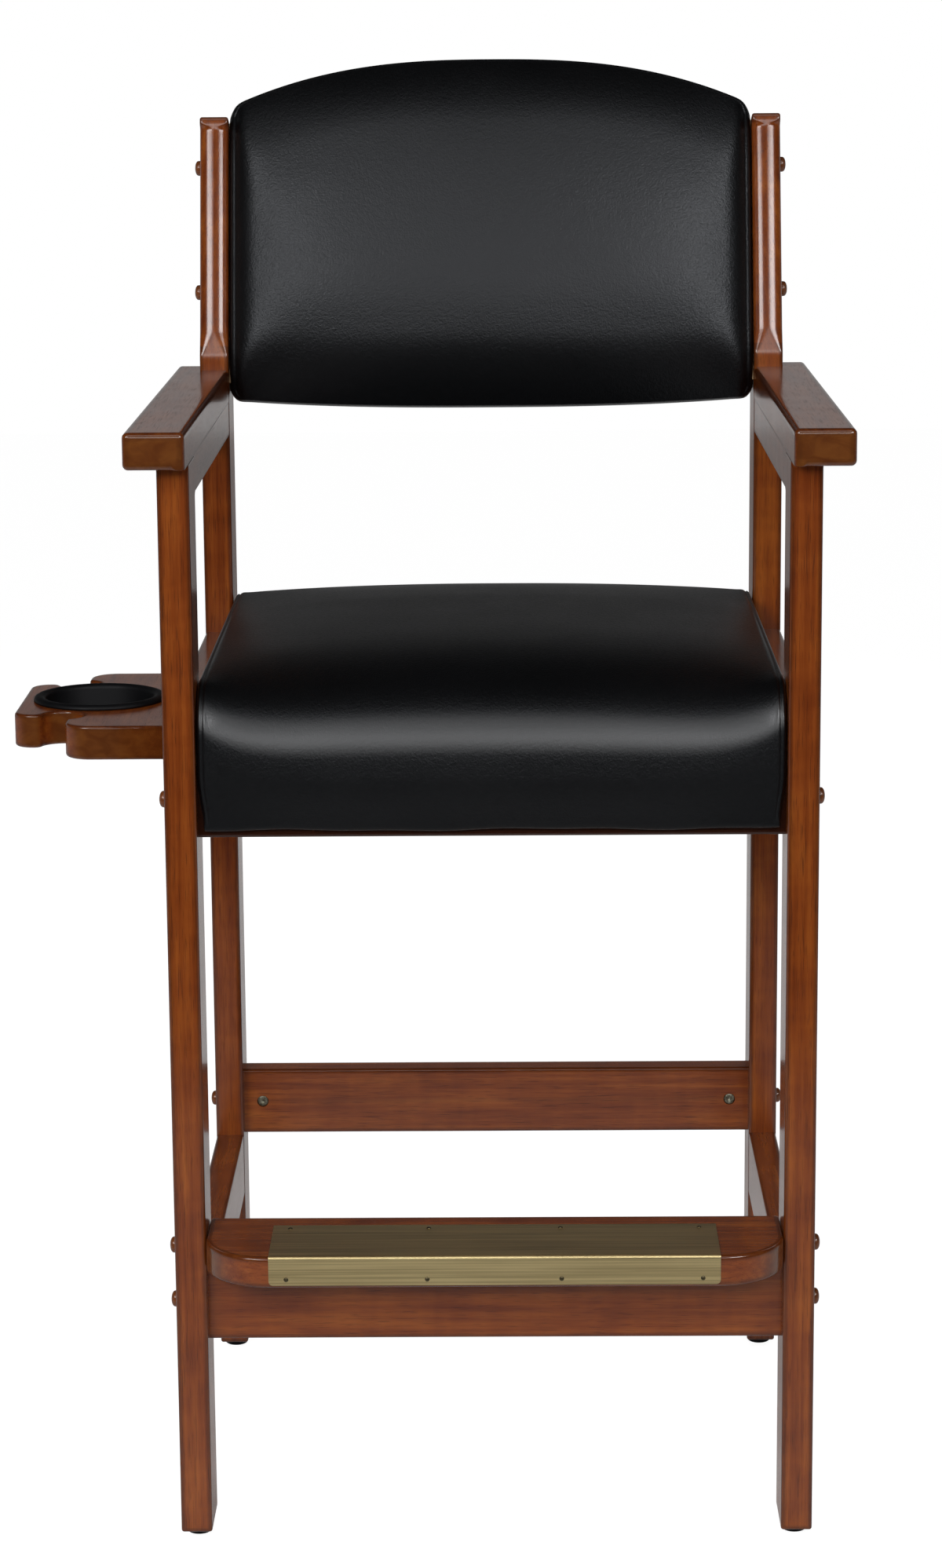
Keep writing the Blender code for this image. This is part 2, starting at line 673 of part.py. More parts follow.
def cup_tray(wood, frame, rail, materials):
    """The tray, screwed to the outside of the left seat side rail."""
    shape = prism(tray_outline(), "z", TRAY_TOP - TRAY_THICK, TRAY_TOP)
    tray = make_board("cup_tray", shape, wood, frame)
    centre = (-HALF_WIDTH - CUP_OUT, TRAY_MIDDLE, TRAY_TOP)
    hole = rod(CUP_BODY + FIT, -2 * TRAY_THICK, TRAY_THICK, 40)
    combine(tray, make_tool("cup_hole", hole, frame, centre))
    bite = STOCK + SCREW_BITE
    neck = SCREW_HEAD_DEPTH
    profile = [(0, 0), (SCREW_HEAD_RADIUS, 0), (SCREW_RADIUS, -neck), (SCREW_RADIUS, -bite), (0, -bite)]
    room = [(0, neck), (SCREW_HEAD_RADIUS + FIT, neck), (SCREW_HEAD_RADIUS + FIT, 0)]
    room += [(SCREW_RADIUS + FIT, -neck), (SCREW_RADIUS + FIT, -bite - FIT), (0, -bite - FIT)]
    for word, way in (("front", -1), ("back", 1)):
        place = (-INNER, TRAY_MIDDLE + way * SCREW_SPREAD / 2, TRAY_TOP - TRAY_THICK / 2)
        turn = (0, math.pi / 2, 0)
        make_piece(f"tray_screw_{word}", lathe(profile, 12), materials["steel"], frame, place, turn)
        screw_hole = make_tool(f"tray_screw_hole_{word}", lathe(room, 12), frame, place, turn)
        combine(rail, screw_hole)
        combine(tray, screw_hole)


def cup_insert(plastic, frame):
    """The drop-in cup with a rolled rim. Its empty stands on the axis that it lifts along."""
    axis = make_empty("cup_axis", frame, (-HALF_WIDTH - CUP_OUT, TRAY_MIDDLE, TRAY_TOP))
    foot = CUP_BODY - CUP_TAPER
    floor = CUP_WALL - CUP_DEPTH
    roll = (CUP_RIM_RADIUS - CUP_RADIUS) / 2
    middle = (CUP_RIM_RADIUS + CUP_RADIUS) / 2
    profile = [(0, -CUP_DEPTH), (foot - CUP_WALL, -CUP_DEPTH), (foot, -CUP_DEPTH + CUP_WALL), (CUP_BODY, FIT)]
    for angle in range(0, 181, 30):
        turn = math.radians(angle)
        profile.append((middle + roll * math.cos(turn), FIT + CUP_RIM_HEIGHT * math.sin(turn)))
    profile += [(foot - CUP_WALL, floor), (0, floor)]
    return make_piece("cup_insert", lathe(profile, 40), plastic, axis)


def centre_on_floor(frame):
    """Moves the chair frame so that the middle of the whole object's box stands over the origin."""
    bpy.context.view_layer.update()
    graph = bpy.context.evaluated_depsgraph_get()
    corners = []
    for thing in bpy.data.objects:
        if thing.type == "MESH" and not thing.hide_render:
            done = thing.evaluated_get(graph)
            corners += [done.matrix_world @ Vector(corner) for corner in done.bound_box]
    for index in (0, 1):
        values = [corner[index] for corner in corners]
        frame.location[index] -= (min(values) + max(values)) / 2
    bpy.context.view_layer.update()


def build():
    clear_scene()
    materials = {
        "wood": make_material("stained_wood", (0.23, 0.075, 0.025), 0.32),
        "leather": make_material("black_leather", (0.012, 0.013, 0.015), 0.42),
        "brass": make_material("antique_brass", (0.40, 0.31, 0.14), 0.34, 1.0),
        "cap": make_material("brown_bolt_cap", (0.16, 0.055, 0.022), 0.40),
        "steel": make_material("dull_steel", (0.24, 0.25, 0.21), 0.50, 1.0),
        "plastic": make_material("black_cup_plastic", (0.012, 0.012, 0.013), 0.45),
        "glide": make_material("black_glide_plastic", (0.010, 0.010, 0.010), 0.55),
        "plywood": make_material("bare_plywood", (0.50, 0.36, 0.21), 0.70),
    }
    wood = materials["wood"]
    frame = make_empty("chair_frame")
    rake = make_empty("back_frame", frame, (0, LEG_PITCH, BACK_START), (-POST_RAKE, 0, 0))
    fronts = {}
    backs = {}
    rails = {}
    for word, side in SIDES.items():
        fronts[word], backs[word], rails[word] = side_frame(word, side, materials, frame)

    into_back = -math.pi / 2
    into_front = math.pi / 2
    seat_front = cross_member("seat_front_rail", MEMBER_FRONT, SEAT_RAIL_BOTTOM, SEAT_RAIL_TOP, wood, frame)
    seat_back = cross_member(
        "seat_back_rail", LEG_PITCH + MEMBER_FRONT, SEAT_RAIL_BOTTOM, SEAT_RAIL_TOP, wood, frame
    )
    top = REAR_STRETCHER_BOTTOM + REAR_STRETCHER_HEIGHT
    rear = cross_member("rear_stretcher", LEG_PITCH + MEMBER_FRONT, REAR_STRETCHER_BOTTOM, top, wood, frame)
    under_board = FOOT_BOARD_BOTTOM - FIT
    front = cross_member("front_stretcher", MEMBER_FRONT, FRONT_STRETCHER_BOTTOM, under_board, wood, frame)
    board = foot_board(wood, frame)
    foot_plate(materials["brass"], frame)

    half = STOCK / 2
    seat_bolt = (SEAT_RAIL_BOTTOM + SEAT_RAIL_TOP) / 2
    rear_bolt = REAR_STRETCHER_BOTTOM + REAR_STRETCHER_HEIGHT / 2
    front_bolt = (FRONT_STRETCHER_BOTTOM + under_board) / 2 - FOOT_BOLT_DROP
    board_bolt = FOOT_BOARD_TOP - half - FOOT_BOLT_DROP
    board_under = board_bolt - FOOT_BOARD_BOTTOM
    far = LEG_PITCH + LEG_MIDDLE
    near = LEG_MIDDLE
    bolted_joint("seat_front", frame, (near, seat_bolt), half, into_front, materials, fronts, seat_front)
    bolted_joint("seat_back", frame, (far, seat_bolt), half, into_back, materials, backs, seat_back)
    bolted_joint("rear_stretcher", frame, (far, rear_bolt), half, into_back, materials, backs, rear)
    bolted_joint("front_stretcher", frame, (near, front_bolt), half, into_front, materials, fronts, front)
    bolted_joint("foot_board", frame, (near, board_bolt), board_under, 0, materials, fronts, board)

    panel_low = (-MEMBER_HALF, MEMBER_FRONT, SEAT_RAIL_TOP + FIT)
    panel_high = (MEMBER_HALF, SEAT_BACK - SEAT_PANEL_INSET, SEAT_PANEL_TOP)
    make_piece("seat_base_panel", block(panel_low, panel_high), materials["plywood"], frame)
    seat_cushion(materials["leather"], frame)

    outline = back_panel_outline(MEMBER_HALF)
    shape = prism(outline, "y", MEMBER_FRONT, MEMBER_BACK)
    panel = make_piece("back_panel", shape, materials["plywood"], rake)
    back_cushion(materials["leather"], rake)
    for word, up in (("low", BACK_BOLT_LOW), ("high", BACK_BOLT_HIGH)):
        bolted_joint(f"back_{word}", rake, (LEG_MIDDLE, up), half, into_front, materials, backs, panel)

    cup_tray(wood, frame, rails["left"], materials)
    cup_insert(materials["plastic"], frame)
    centre_on_floor(frame)


build()
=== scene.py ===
# %% [markdown]
# # A billiard spectator chair
#
# This tall chair stands beside a billiard table. It has a stained hardwood frame, a sewn black seat and
# back, a brass plate on the foot board, and a small tray with a drop-in cup and two notches for cues.
# The solids are already built and packed, so the lesson only dresses them. They are loaded first, because
# they say where every piece is and how large the finished chair may be.

import math
import random
from collections import namedtuple

import bmesh
import bpy
from mathutils import Matrix, Quaternion, Vector


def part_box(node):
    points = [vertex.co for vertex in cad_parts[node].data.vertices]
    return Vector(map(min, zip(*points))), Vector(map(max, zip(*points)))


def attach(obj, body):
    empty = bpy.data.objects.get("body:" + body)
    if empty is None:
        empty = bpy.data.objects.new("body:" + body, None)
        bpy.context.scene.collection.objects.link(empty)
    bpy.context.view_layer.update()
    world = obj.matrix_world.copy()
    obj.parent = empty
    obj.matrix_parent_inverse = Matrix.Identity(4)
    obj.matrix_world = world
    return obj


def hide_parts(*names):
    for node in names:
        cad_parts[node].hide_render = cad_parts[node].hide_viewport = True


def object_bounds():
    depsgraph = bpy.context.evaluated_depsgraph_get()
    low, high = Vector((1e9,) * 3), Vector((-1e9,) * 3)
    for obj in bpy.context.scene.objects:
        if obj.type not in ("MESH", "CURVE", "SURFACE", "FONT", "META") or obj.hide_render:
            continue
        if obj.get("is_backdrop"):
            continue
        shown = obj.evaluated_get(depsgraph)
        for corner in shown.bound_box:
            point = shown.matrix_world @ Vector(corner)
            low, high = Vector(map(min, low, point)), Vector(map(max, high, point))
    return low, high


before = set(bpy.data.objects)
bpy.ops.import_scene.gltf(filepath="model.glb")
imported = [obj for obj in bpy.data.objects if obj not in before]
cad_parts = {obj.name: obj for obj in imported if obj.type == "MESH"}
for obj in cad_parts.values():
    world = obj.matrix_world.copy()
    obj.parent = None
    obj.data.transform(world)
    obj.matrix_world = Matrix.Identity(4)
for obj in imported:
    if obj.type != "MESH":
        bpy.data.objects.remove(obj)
cad_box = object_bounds()
scene = bpy.context.scene
print("solids loaded:", len(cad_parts))

# %% [markdown]
# ## Where the chair stands
#
# The tray sticks out on one side, so the middle of the whole object is not the middle of the chair. A chair
# maker measures from the middle of the frame and from the front of the legs, and so does every number
# below. One vector moves such a place into the world.

# %% Places measured from the chair
left_leg_low, left_leg_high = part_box("front_leg_left")
right_leg_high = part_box("front_leg_right")[1]
CHAIR_PLACE = Vector(((left_leg_low.x + right_leg_high.x) / 2, left_leg_low.y, 0))
STOCK = left_leg_high.x - left_leg_low.x
LEG_DEPTH = left_leg_high.y - left_leg_low.y
HALF_WIDTH = (right_leg_high.x - left_leg_low.x) / 2
INNER = HALF_WIDTH - STOCK
SIDES = {"left": -1, "right": 1}


def chair_box(node):
    """The lowest and highest corner of a solid, measured from the chair."""
    low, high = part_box(node)
    return low - CHAIR_PLACE, high - CHAIR_PLACE


def chair_middle(node):
    """The middle of a solid, measured from the chair."""
    low, high = chair_box(node)
    return (low + high) / 2


print(f"frame {2000 * HALF_WIDTH:.0f} mm wide, boards {1000 * STOCK:.1f} mm thick")

# %% [markdown]
# ## The camera
#
# The photograph is taken from a little above the arms, almost straight on. The place, direction and focal
# length were worked out from the straight edges of the legs and boards, with the thickness of the boards
# as the scale. The small roll is how far the camera was tilted.

# %% Set up the camera
CAMERA_PLACE = Vector((0.01363935, -2.97395093, 1.25645979))
CAMERA_AHEAD = Vector((-0.00982475, 0.97894791, -0.20387367))
CAMERA_ROLL = -0.0077
CAMERA_LENS = 58.97

camera_data = bpy.data.cameras.new("photo_camera")
camera_data.sensor_fit = "VERTICAL"
camera_data.sensor_height = 24
camera_data.lens = CAMERA_LENS
camera = bpy.data.objects.new("photo_camera", camera_data)
camera.location = CHAIR_PLACE + CAMERA_PLACE
camera.rotation_mode = "QUATERNION"
camera.rotation_quaternion = CAMERA_AHEAD.to_track_quat("-Z", "Y") @ Quaternion((0, 0, 1), CAMERA_ROLL)
scene.collection.objects.link(camera)
scene.camera = camera
scene.view_settings.view_transform = "Standard"
print("camera", [round(value, 3) for value in camera.location])

# %% [markdown]
# ## Writing finishes as sums
#
# A finish is a small network of nodes. Wiring it line by line hides the idea, so this class wraps one output
# socket and lets Python's own operators add the Math nodes: `0.3 + 0.2 * cloud` reads like the recipe it is.
# Every other node comes from `node`, which takes the type, the settings and the values of the sockets.

# %% A socket that can be added and multiplied


class Wire:
    """An output socket in a node tree."""

    def __init__(self, tree, socket=None):
        self.tree = tree
        self.socket = socket

    def node(self, kind, settings=None, inputs=None, output=0):
        """Adds a node, sets it up, feeds its sockets and returns one of its outputs."""
        made = self.tree.nodes.new(kind)
        for name, value in (settings or {}).items():
            if name == "stops":
                self.set_stops(made.color_ramp, value)
            else:
                setattr(made, name, value)
        for name, value in (inputs or {}).items():
            if isinstance(value, Wire):
                self.tree.links.new(value.socket, made.inputs[name])
            else:
                made.inputs[name].default_value = value
        return Wire(self.tree, made.outputs[output] if made.outputs else None)

    def set_stops(self, ramp, stops):
        """Replaces the stops of a colour ramp by (place, colour) pairs."""
        while len(ramp.elements) > 1:
            ramp.elements.remove(ramp.elements[-1])
        ramp.elements[0].position, ramp.elements[0].color = stops[0]
        for place, colour in stops[1:]:
            ramp.elements.new(place).color = colour

    def math(self, operation, first, second):
        return self.node("ShaderNodeMath", {"operation": operation}, {0: first, 1: second})

    def __add__(self, other):
        return self.math("ADD", self, other)

    def __sub__(self, other):
        return self.math("SUBTRACT", self, other)

    def __rsub__(self, other):
        return self.math("SUBTRACT", other, self)

    def __mul__(self, other):
        return self.math("MULTIPLY", self, other)

    __radd__ = __add__
    __rmul__ = __mul__

    def place(self):
        """The place on the object, in metres."""
        return self.node("ShaderNodeTexCoord", output="Object")

    def carried(self, name, output="Fac"):
        """A value that the mesh carries."""
        return self.node("ShaderNodeAttribute", {"attribute_name": name}, None, output)

    def part(self, axis):
        """One part of this vector."""
        return self.node("ShaderNodeSeparateXYZ", None, {"Vector": self}, axis)

    def stretch(self, amounts):
        """This vector with each part multiplied by its own amount."""
        return self.node("ShaderNodeVectorMath", {"operation": "MULTIPLY"}, {0: self, 1: amounts})

    def cloud(self, scale, detail=2.0, distortion=0.0):
        """Soft noise from 0 to 1 at this vector."""
        inputs = {"Vector": self, "Scale": scale, "Detail": detail, "Distortion": distortion}
        return self.node("ShaderNodeTexNoise", None, inputs)

    def band(self, low, high):
        """0 below low and 1 above high, with a soft step between them. low may be the larger one."""
        inputs = {"Value": self, "From Min": low, "From Max": high}
        return self.node("ShaderNodeMapRange", {"interpolation_type": "SMOOTHSTEP"}, inputs)

    def mix(self, first, second, blend="MIX"):
        """The first colour where this value is 0 and the second where it is 1."""
        settings = {"data_type": "RGBA", "blend_type": blend}
        return self.node("ShaderNodeMix", settings, {0: self, 6: first, 7: second}, 2)

    def bump(self, strength, distance):
        """A Normal from this height."""
        inputs = {"Height": self, "Strength": strength, "Distance": distance}
        return self.node("ShaderNodeBump", None, inputs)


def colour(red, green, blue):
    return (red, green, blue, 1.0)


print("sockets can now be added and multiplied")

# %% [markdown]
# ## The studio
#
# The highlights in the photograph suggest soft boxes left, right and above the camera and a long faint one
# overhead, with a pale wall and floor behind the chair and a dark room above. Black leather and lacquered
# wood mostly show what they mirror, so the bright panels that they mirror are set up first, and the lamps
# that light the wood under the lacquer are set up beside them. The camera itself sees plain white.

# %% Hang the soft boxes
LIGHT_AIM = Vector((0, 0.15, 0.75))


def soft_box(name, place, width, height, glow):
    """A flat lamp that looks equally bright from every side in front of it."""
    lamp = bpy.data.lights.new(name, "AREA")
    lamp.shape = "RECTANGLE"
    lamp.size = width
    lamp.size_y = height
    lamp.energy = glow * math.pi * width * height
    thing = bpy.data.objects.new(name, lamp)
    thing.location = CHAIR_PLACE + Vector(place)
    thing.rotation_euler = (LIGHT_AIM - Vector(place)).to_track_quat("-Z", "Y").to_euler()
    thing.visible_camera = False
    scene.collection.objects.link(thing)
    return thing


mirrored_panels = [
    soft_box("panel_left", (-1.75, -2.35, 2.42), 1.45, 0.9, 11.0),
    soft_box("panel_right", (1.75, -2.35, 2.42), 1.45, 0.9, 12.5),
    soft_box("panel_middle", (0, -2.7, 1.85), 1.8, 0.8, 3.0),
    soft_box("panel_overhead", (0, -1.2, 3.0), 2.6, 0.8, 1.6),
]
for panel in mirrored_panels:
    panel.visible_diffuse = False
lamps = [
    soft_box("lamp_left", (-1.45, -2.5, 2.35), 1.45, 0.85, 7.0),
    soft_box("lamp_right", (1.45, -2.5, 2.35), 1.45, 0.85, 3.0),
    soft_box("lamp_front", (-0.6, -3.6, 1.9), 2.6, 0.6, 14.8),
    soft_box("lamp_rear", (0.4, 3.2, 2.2), 2.4, 1.6, 2.4),
]
for lamp in lamps:
    lamp.visible_glossy = False
print(len(mirrored_panels), "panels to mirror and", len(lamps), "lamps to light")

# %% Surround the chair with a pale wall and a dim room
AIR_DIFFUSE = 0.20
WALL_GLOW = 0.41
ROOM_GLOW = 0.02
PAPER = colour(1, 1, 1)
world = bpy.data.worlds.new("studio")
scene.world = world
world.use_nodes = True
world.node_tree.nodes.clear()
air = Wire(world.node_tree)
look = air.node("ShaderNodeTexCoord", output="Generated")
wall = look.part("Y").band(-0.15, 0.35) * look.part("Z").band(0.36, -0.03) * WALL_GLOW + ROOM_GLOW
mirrored, around, white = [
    air.node("ShaderNodeBackground", None, {"Color": PAPER, "Strength": strength})
    for strength in (wall, AIR_DIFFUSE, 1.0)
]
is_diffuse = air.node("ShaderNodeLightPath", output="Is Diffuse Ray")
is_camera = air.node("ShaderNodeLightPath", output="Is Camera Ray")
unseen = air.node("ShaderNodeMixShader", None, {0: is_diffuse, 1: mirrored, 2: around})
seen = air.node("ShaderNodeMixShader", None, {0: is_camera, 1: unseen, 2: white})
air.node("ShaderNodeOutputWorld", None, {"Surface": seen})
print("the room glows", AIR_DIFFUSE, "and the wall behind", WALL_GLOW)

# %% [markdown]
# The floor is plain and pale. The photograph shows it as pure white, so the camera sees it glow, with a
# trace of the chair's shadow. Reflections and bounced light get its real tone, which is dim in front, where
# the studio ends, and bright behind the chair.

# %% Lay the floor
FLOOR_SEEN = 0.94
FLOOR_SHADE = colour(0.25, 0.25, 0.25)
FLOOR_NEAR = colour(0.50, 0.50, 0.50)
FLOOR_FAR = colour(0.90, 0.90, 0.90)
FLOOR_TURN = (-1.06, -0.26)
floor_mesh = bpy.data.meshes.new("studio_floor")
floor_corners = [(-6, -1.3, 0), (6, -1.3, 0), (6, 8, 0), (-6, 8, 0)]
floor_mesh.from_pydata([CHAIR_PLACE + Vector(corner) for corner in floor_corners], [], [(0, 1, 2, 3)])
floor = bpy.data.objects.new("studio_floor", floor_mesh)
scene.collection.objects.link(floor)
floor_paint = bpy.data.materials.new("studio_floor")
floor_paint.use_nodes = True
floor_paint.node_tree.nodes.clear()
floor_mesh.materials.append(floor_paint)
ground = Wire(floor_paint.node_tree)
behind = ground.place().part("Y").band(*FLOOR_TURN)
pale = ground.node("ShaderNodeBsdfDiffuse", None, {"Color": behind.mix(FLOOR_NEAR, FLOOR_FAR)})
shade = ground.node("ShaderNodeBsdfDiffuse", None, {"Color": FLOOR_SHADE})
shine = ground.node("ShaderNodeEmission", None, {"Strength": FLOOR_SEEN})
shown = ground.node("ShaderNodeAddShader", None, {0: shade, 1: shine})
by_camera = ground.node("ShaderNodeLightPath", output="Is Camera Ray")
surface = ground.node("ShaderNodeMixShader", None, {0: by_camera, 1: pale, 2: shown})
ground.node("ShaderNodeOutputMaterial", None, {"Surface": surface})
floor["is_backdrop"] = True
print("floor laid")

# %% [markdown]
# ## Stained wood
#
# The frame is hardwood, stained a warm red-brown and lacquered to a satin gloss. Close up there are soft
# golden and reddish patches, thin dark pores that run with the grain, and a darker line along the eased
# edges, which is partly stain gathered there and partly painted shade for the dark room that the rounded
# edges mirror. Sawn ends drink more stain and look duller and more olive. A pattern on plain object
# coordinates would run the same way through every board, so each board carries its own `grain` attribute:
# metres along the grain first, then across, with a different start for every board.

# %% Start a finish


def new_finish(name, **fixed):
    """A new material, its shader node and a first wire to build from."""
    material = bpy.data.materials.new(name)
    material.use_nodes = True
    shader = material.node_tree.nodes["Principled BSDF"]
    for socket, value in fixed.items():
        shader.inputs[socket.replace("_", " ")].default_value = value
    return material, shader, Wire(material.node_tree)


def feed(shader, **wires):
    """Links wires to the named sockets of a shader."""
    for socket, wire in wires.items():
        wire.tree.links.new(wire.socket, shader.inputs[socket.replace("_", " ")])


print("finishes can be started")

# %% Stain and lacquer the wood
STAIN_DARK = colour(0.125, 0.0225, 0.0038)
STAIN_MIDDLE = colour(0.205, 0.045, 0.0066)
STAIN_GOLD = colour(0.290, 0.076, 0.0105)
STAIN_END = colour(0.090, 0.024, 0.0046)
STAIN_OLIVE = colour(0.140, 0.045, 0.0085)
# The pore colour is also the colour of the darker edge line and of the painted shade on the front rail.
STAIN_PORE_AND_SHADE = colour(0.030, 0.007, 0.0020)

stained_wood, wood_shader, wood = new_finish("stained_wood_finish", IOR=1.56)
grain = wood.carried("grain", "Vector")
edge = wood.carried("edge")
end = wood.carried("end")
patches = grain.stretch((11, 60, 60)).cloud(1.0, 4.0, 0.6)
streaks = grain.stretch((5, 240, 240)).cloud(1.0, 4.0, 0.3)
figure = grain.stretch((38, 14, 14)).cloud(1.0, 2.0, 0.4)
fibres = grain.stretch((45, 1500, 1500)).cloud(1.0, 2.0)
pores = fibres.band(0.56, 0.68)
tone = patches * 0.36 + streaks * 0.44 + figure * 0.20
STAIN_STOPS = [(0.35, STAIN_DARK), (0.50, STAIN_MIDDLE), (0.66, STAIN_GOLD)]
stain = wood.node("ShaderNodeValToRGB", {"stops": STAIN_STOPS}, {"Fac": tone})
rings = grain.stretch((30, 55, 85)).cloud(1.0, 3.0, 0.8)
end_stain = rings.band(0.28, 0.74).mix(STAIN_END, STAIN_OLIVE)
face_stain = (pores * 0.5).mix(stain, STAIN_PORE_AND_SHADE)
sawn = end.band(0.55, 0.95)
whole_stain = (sawn * 0.95).mix(face_stain, end_stain)
# A darker line along the eased edges: partly stain gathered there, partly painted shade for the dark room
# that rounded edges mirror.
edge_stain_and_shade = edge * (1 - 0.6 * sawn) * (0.32 + 0.40 * grain.cloud(70.0, 2.0))
wood_colour = edge_stain_and_shade.mix(whole_stain, STAIN_PORE_AND_SHADE)
wood_gloss = 0.14 + 0.07 * grain.cloud(25.0, 3.0) + 0.06 * pores
wood_skin = grain.cloud(420.0, 1.0) * 0.25 - pores * 0.5
feed(wood_shader, Base_Color=wood_colour, Roughness=wood_gloss, Normal=wood_skin.bump(0.05, 0.0004))
print("finish:", stained_wood.name)

# %% [markdown]
# ## Black leather
#
# The seat and back are covered in smooth black upholstery leather with a very fine pebble, which breaks the
# soft highlight into specks. The colour is almost black, so nearly all that shows is gloss. The pebble is a
# Voronoi bump about a millimetre wide with a coarser mottle under it, and slow clouds vary the gloss as
# handling does. The rolled front edge of the seat shines more than the rest, as if polished, so it gets a
# coat there.

# %% Tan the leather
LEATHER_DEEP = colour(0.0006, 0.00065, 0.0009)
LEATHER_WORN = colour(0.0016, 0.0017, 0.0022)
LEATHER_SHINE = colour(0.92, 0.95, 1.0)

black_leather, leather_shader, leather = new_finish(
    "black_leather_finish", IOR=1.42, Specular_Tint=LEATHER_SHINE, Coat_Roughness=0.40
)
hide = leather.place()
polish = leather.carried("polish")
pebble = leather.node("ShaderNodeTexVoronoi", None, {"Vector": hide, "Scale": 720.0}, "Distance")
handling = hide.cloud(11.0, 3.0)
mottle = hide.cloud(330.0, 2.0, 0.4)
leather_colour = handling.mix(LEATHER_DEEP, LEATHER_WORN)
leather_gloss = 0.29 + 0.08 * handling + 0.08 * pebble + 0.08 * mottle
leather_skin = pebble + 0.35 * hide.cloud(1500.0, 1.0) + 2.2 * mottle
feed(
    leather_shader,
    Base_Color=leather_colour,
    Roughness=leather_gloss,
    Coat_Weight=polish,
    Normal=leather_skin.bump(0.30, 0.0004),
)
print("finish:", black_leather.name)

# %% [markdown]
# ## Metal, plastic and plywood
#
# The foot plate is brass with an antique tint: brushed lengthwise, darker in clouds where feet don't polish
# it. The bolt caps are brown to match the wood, the barrel nuts dull zinc-plated steel, the cup and glides
# black plastic. The panels under the leather are bare plywood with visible plies.

# %% Brush the brass
BRASS_BRIGHT = colour(0.79, 0.64, 0.33)
BRASS_DULL = colour(0.54, 0.42, 0.21)

antique_brass, brass_shader, brass = new_finish("antique_brass_finish", Metallic=1.0)
sheet = brass.place()
brushed = sheet.stretch((5, 1300, 1300)).cloud(1.0, 3.0)
tarnish = sheet.stretch((7, 90, 90)).cloud(1.0, 3.0)
brass_tone = brushed * 0.7 + tarnish * 0.3
brass_colour = brass_tone.band(0.38, 0.62).mix(BRASS_DULL, BRASS_BRIGHT)
brass_gloss = 0.32 + 0.08 * tarnish + 0.06 * brushed
feed(brass_shader, Base_Color=brass_colour, Roughness=brass_gloss, Normal=brushed.bump(0.08, 0.0003))
print("finish:", antique_brass.name)

# %% Colour the fittings


def clouded_finish(name, cloud, colours, gloss, bump, band=None, **fixed):
    """A finish whose colour, gloss and height follow one cloud. gloss is its least and how much it gains."""
    material, shader, first = new_finish(name, **fixed)
    spots = first.place().cloud(*cloud)
    tones = spots.band(*band) if band else spots
    least, gain = gloss
    rough = least + gain * spots
    feed(shader, Base_Color=tones.mix(*colours), Roughness=rough, Normal=spots.bump(*bump))
    return material


CAP_BROWNS = (colour(0.110, 0.030, 0.008), colour(0.240, 0.072, 0.018))
ZINC_GREYS = (colour(0.11, 0.105, 0.07), colour(0.34, 0.33, 0.26))
NAIL_BROWNS = (colour(0.050, 0.042, 0.026), colour(0.170, 0.140, 0.080))
FINE_BUMP = (0.08, 0.0003)
ZINC_BUMP = (0.12, 0.0003)
NAIL_BUMP = (0.10, 0.0002)
ZINC_BAND = (0.3, 0.7)
brown_cap = clouded_finish("brown_cap_finish", (260.0, 3.0), CAP_BROWNS, (0.20, 0.12), FINE_BUMP, IOR=1.5)
dull_steel = clouded_finish(
    "dull_steel_finish", (520.0, 4.0, 0.5), ZINC_GREYS, (0.36, 0.25), ZINC_BUMP, ZINC_BAND, Metallic=1.0
)
nail_brass = clouded_finish(
    "nail_brass_finish", (700.0, 3.0), NAIL_BROWNS, (0.26, 0.20), NAIL_BUMP, Metallic=1.0
)
print("finishes:", brown_cap.name, dull_steel.name, nail_brass.name)

# %% Mould the plastics and glue up the plywood
PLASTIC_BLACKS = (colour(0.0016, 0.0017, 0.0024), colour(0.0034, 0.0036, 0.0046))
VENEER_TANS = (colour(0.36, 0.22, 0.11), colour(0.52, 0.36, 0.20))
PLY_BROWN = colour(0.20, 0.11, 0.05)


def black_plastic(name, roughness, texture):
    """Moulded black plastic with a fine spark-eroded skin."""
    material, shader, skin = new_finish(name, IOR=1.30)
    scuff = skin.place().cloud(60.0, 4.0)
    grit = skin.place().cloud(texture, 2.0)
    rough = roughness + 0.14 * scuff + 0.06 * grit
    feed(shader, Base_Color=scuff.mix(*PLASTIC_BLACKS), Roughness=rough, Normal=grit.bump(0.15, 0.0003))
    return material


cup_plastic = black_plastic("cup_plastic_finish", 0.46, 900.0)
glide_plastic = black_plastic("glide_plastic_finish", 0.34, 700.0)
bare_plywood, plywood_shader, plywood = new_finish("bare_plywood_finish", IOR=1.45)
panel = plywood.place()
plies = panel.stretch((6, 6, 420)).cloud(1.0, 2.0).band(0.45, 0.55)
veneer = panel.stretch((4, 120, 30)).cloud(1.0, 4.0, 0.5)
veneer_colour = veneer.band(0.3, 0.7).mix(*VENEER_TANS)
feed(
    plywood_shader,
    Base_Color=(plies * 0.25).mix(veneer_colour, PLY_BROWN),
    Roughness=0.62 + 0.2 * veneer,
    Normal=veneer.bump(0.2, 0.0006),
)
print("finishes:", cup_plastic.name, glide_plastic.name, bare_plywood.name)

# %% [markdown]
# ## Boards with eased edges
#
# A board is an outline with a thickness. The solids have narrow flat bevels; a real board has its edges
# rounded with a router, which gives the thin bright and dark lines along the arms and legs. A Bevel modifier
# could do this, but the posts need a rounding that fades in and out, so the rings are laid directly: the
# outline is drawn in a little further at each step towards both faces, by an amount that every point of the
# outline carries.

# %% Draw outlines with rounded corners
EASE = 0.0022
EDGE_BAND = 0.0022
CORNER_STEPS = 4
NO_LIMIT = 1.0

# A spot on an outline. The rim is how far it is drawn in at a face, the spread how far from the face that
# starts, and low their share at the low face. The way it is drawn in is given where it is known, with how
# far it may go that way and the way that it goes on from there.
Spot = namedtuple("Spot", "place mark rim spread low way limit onward")


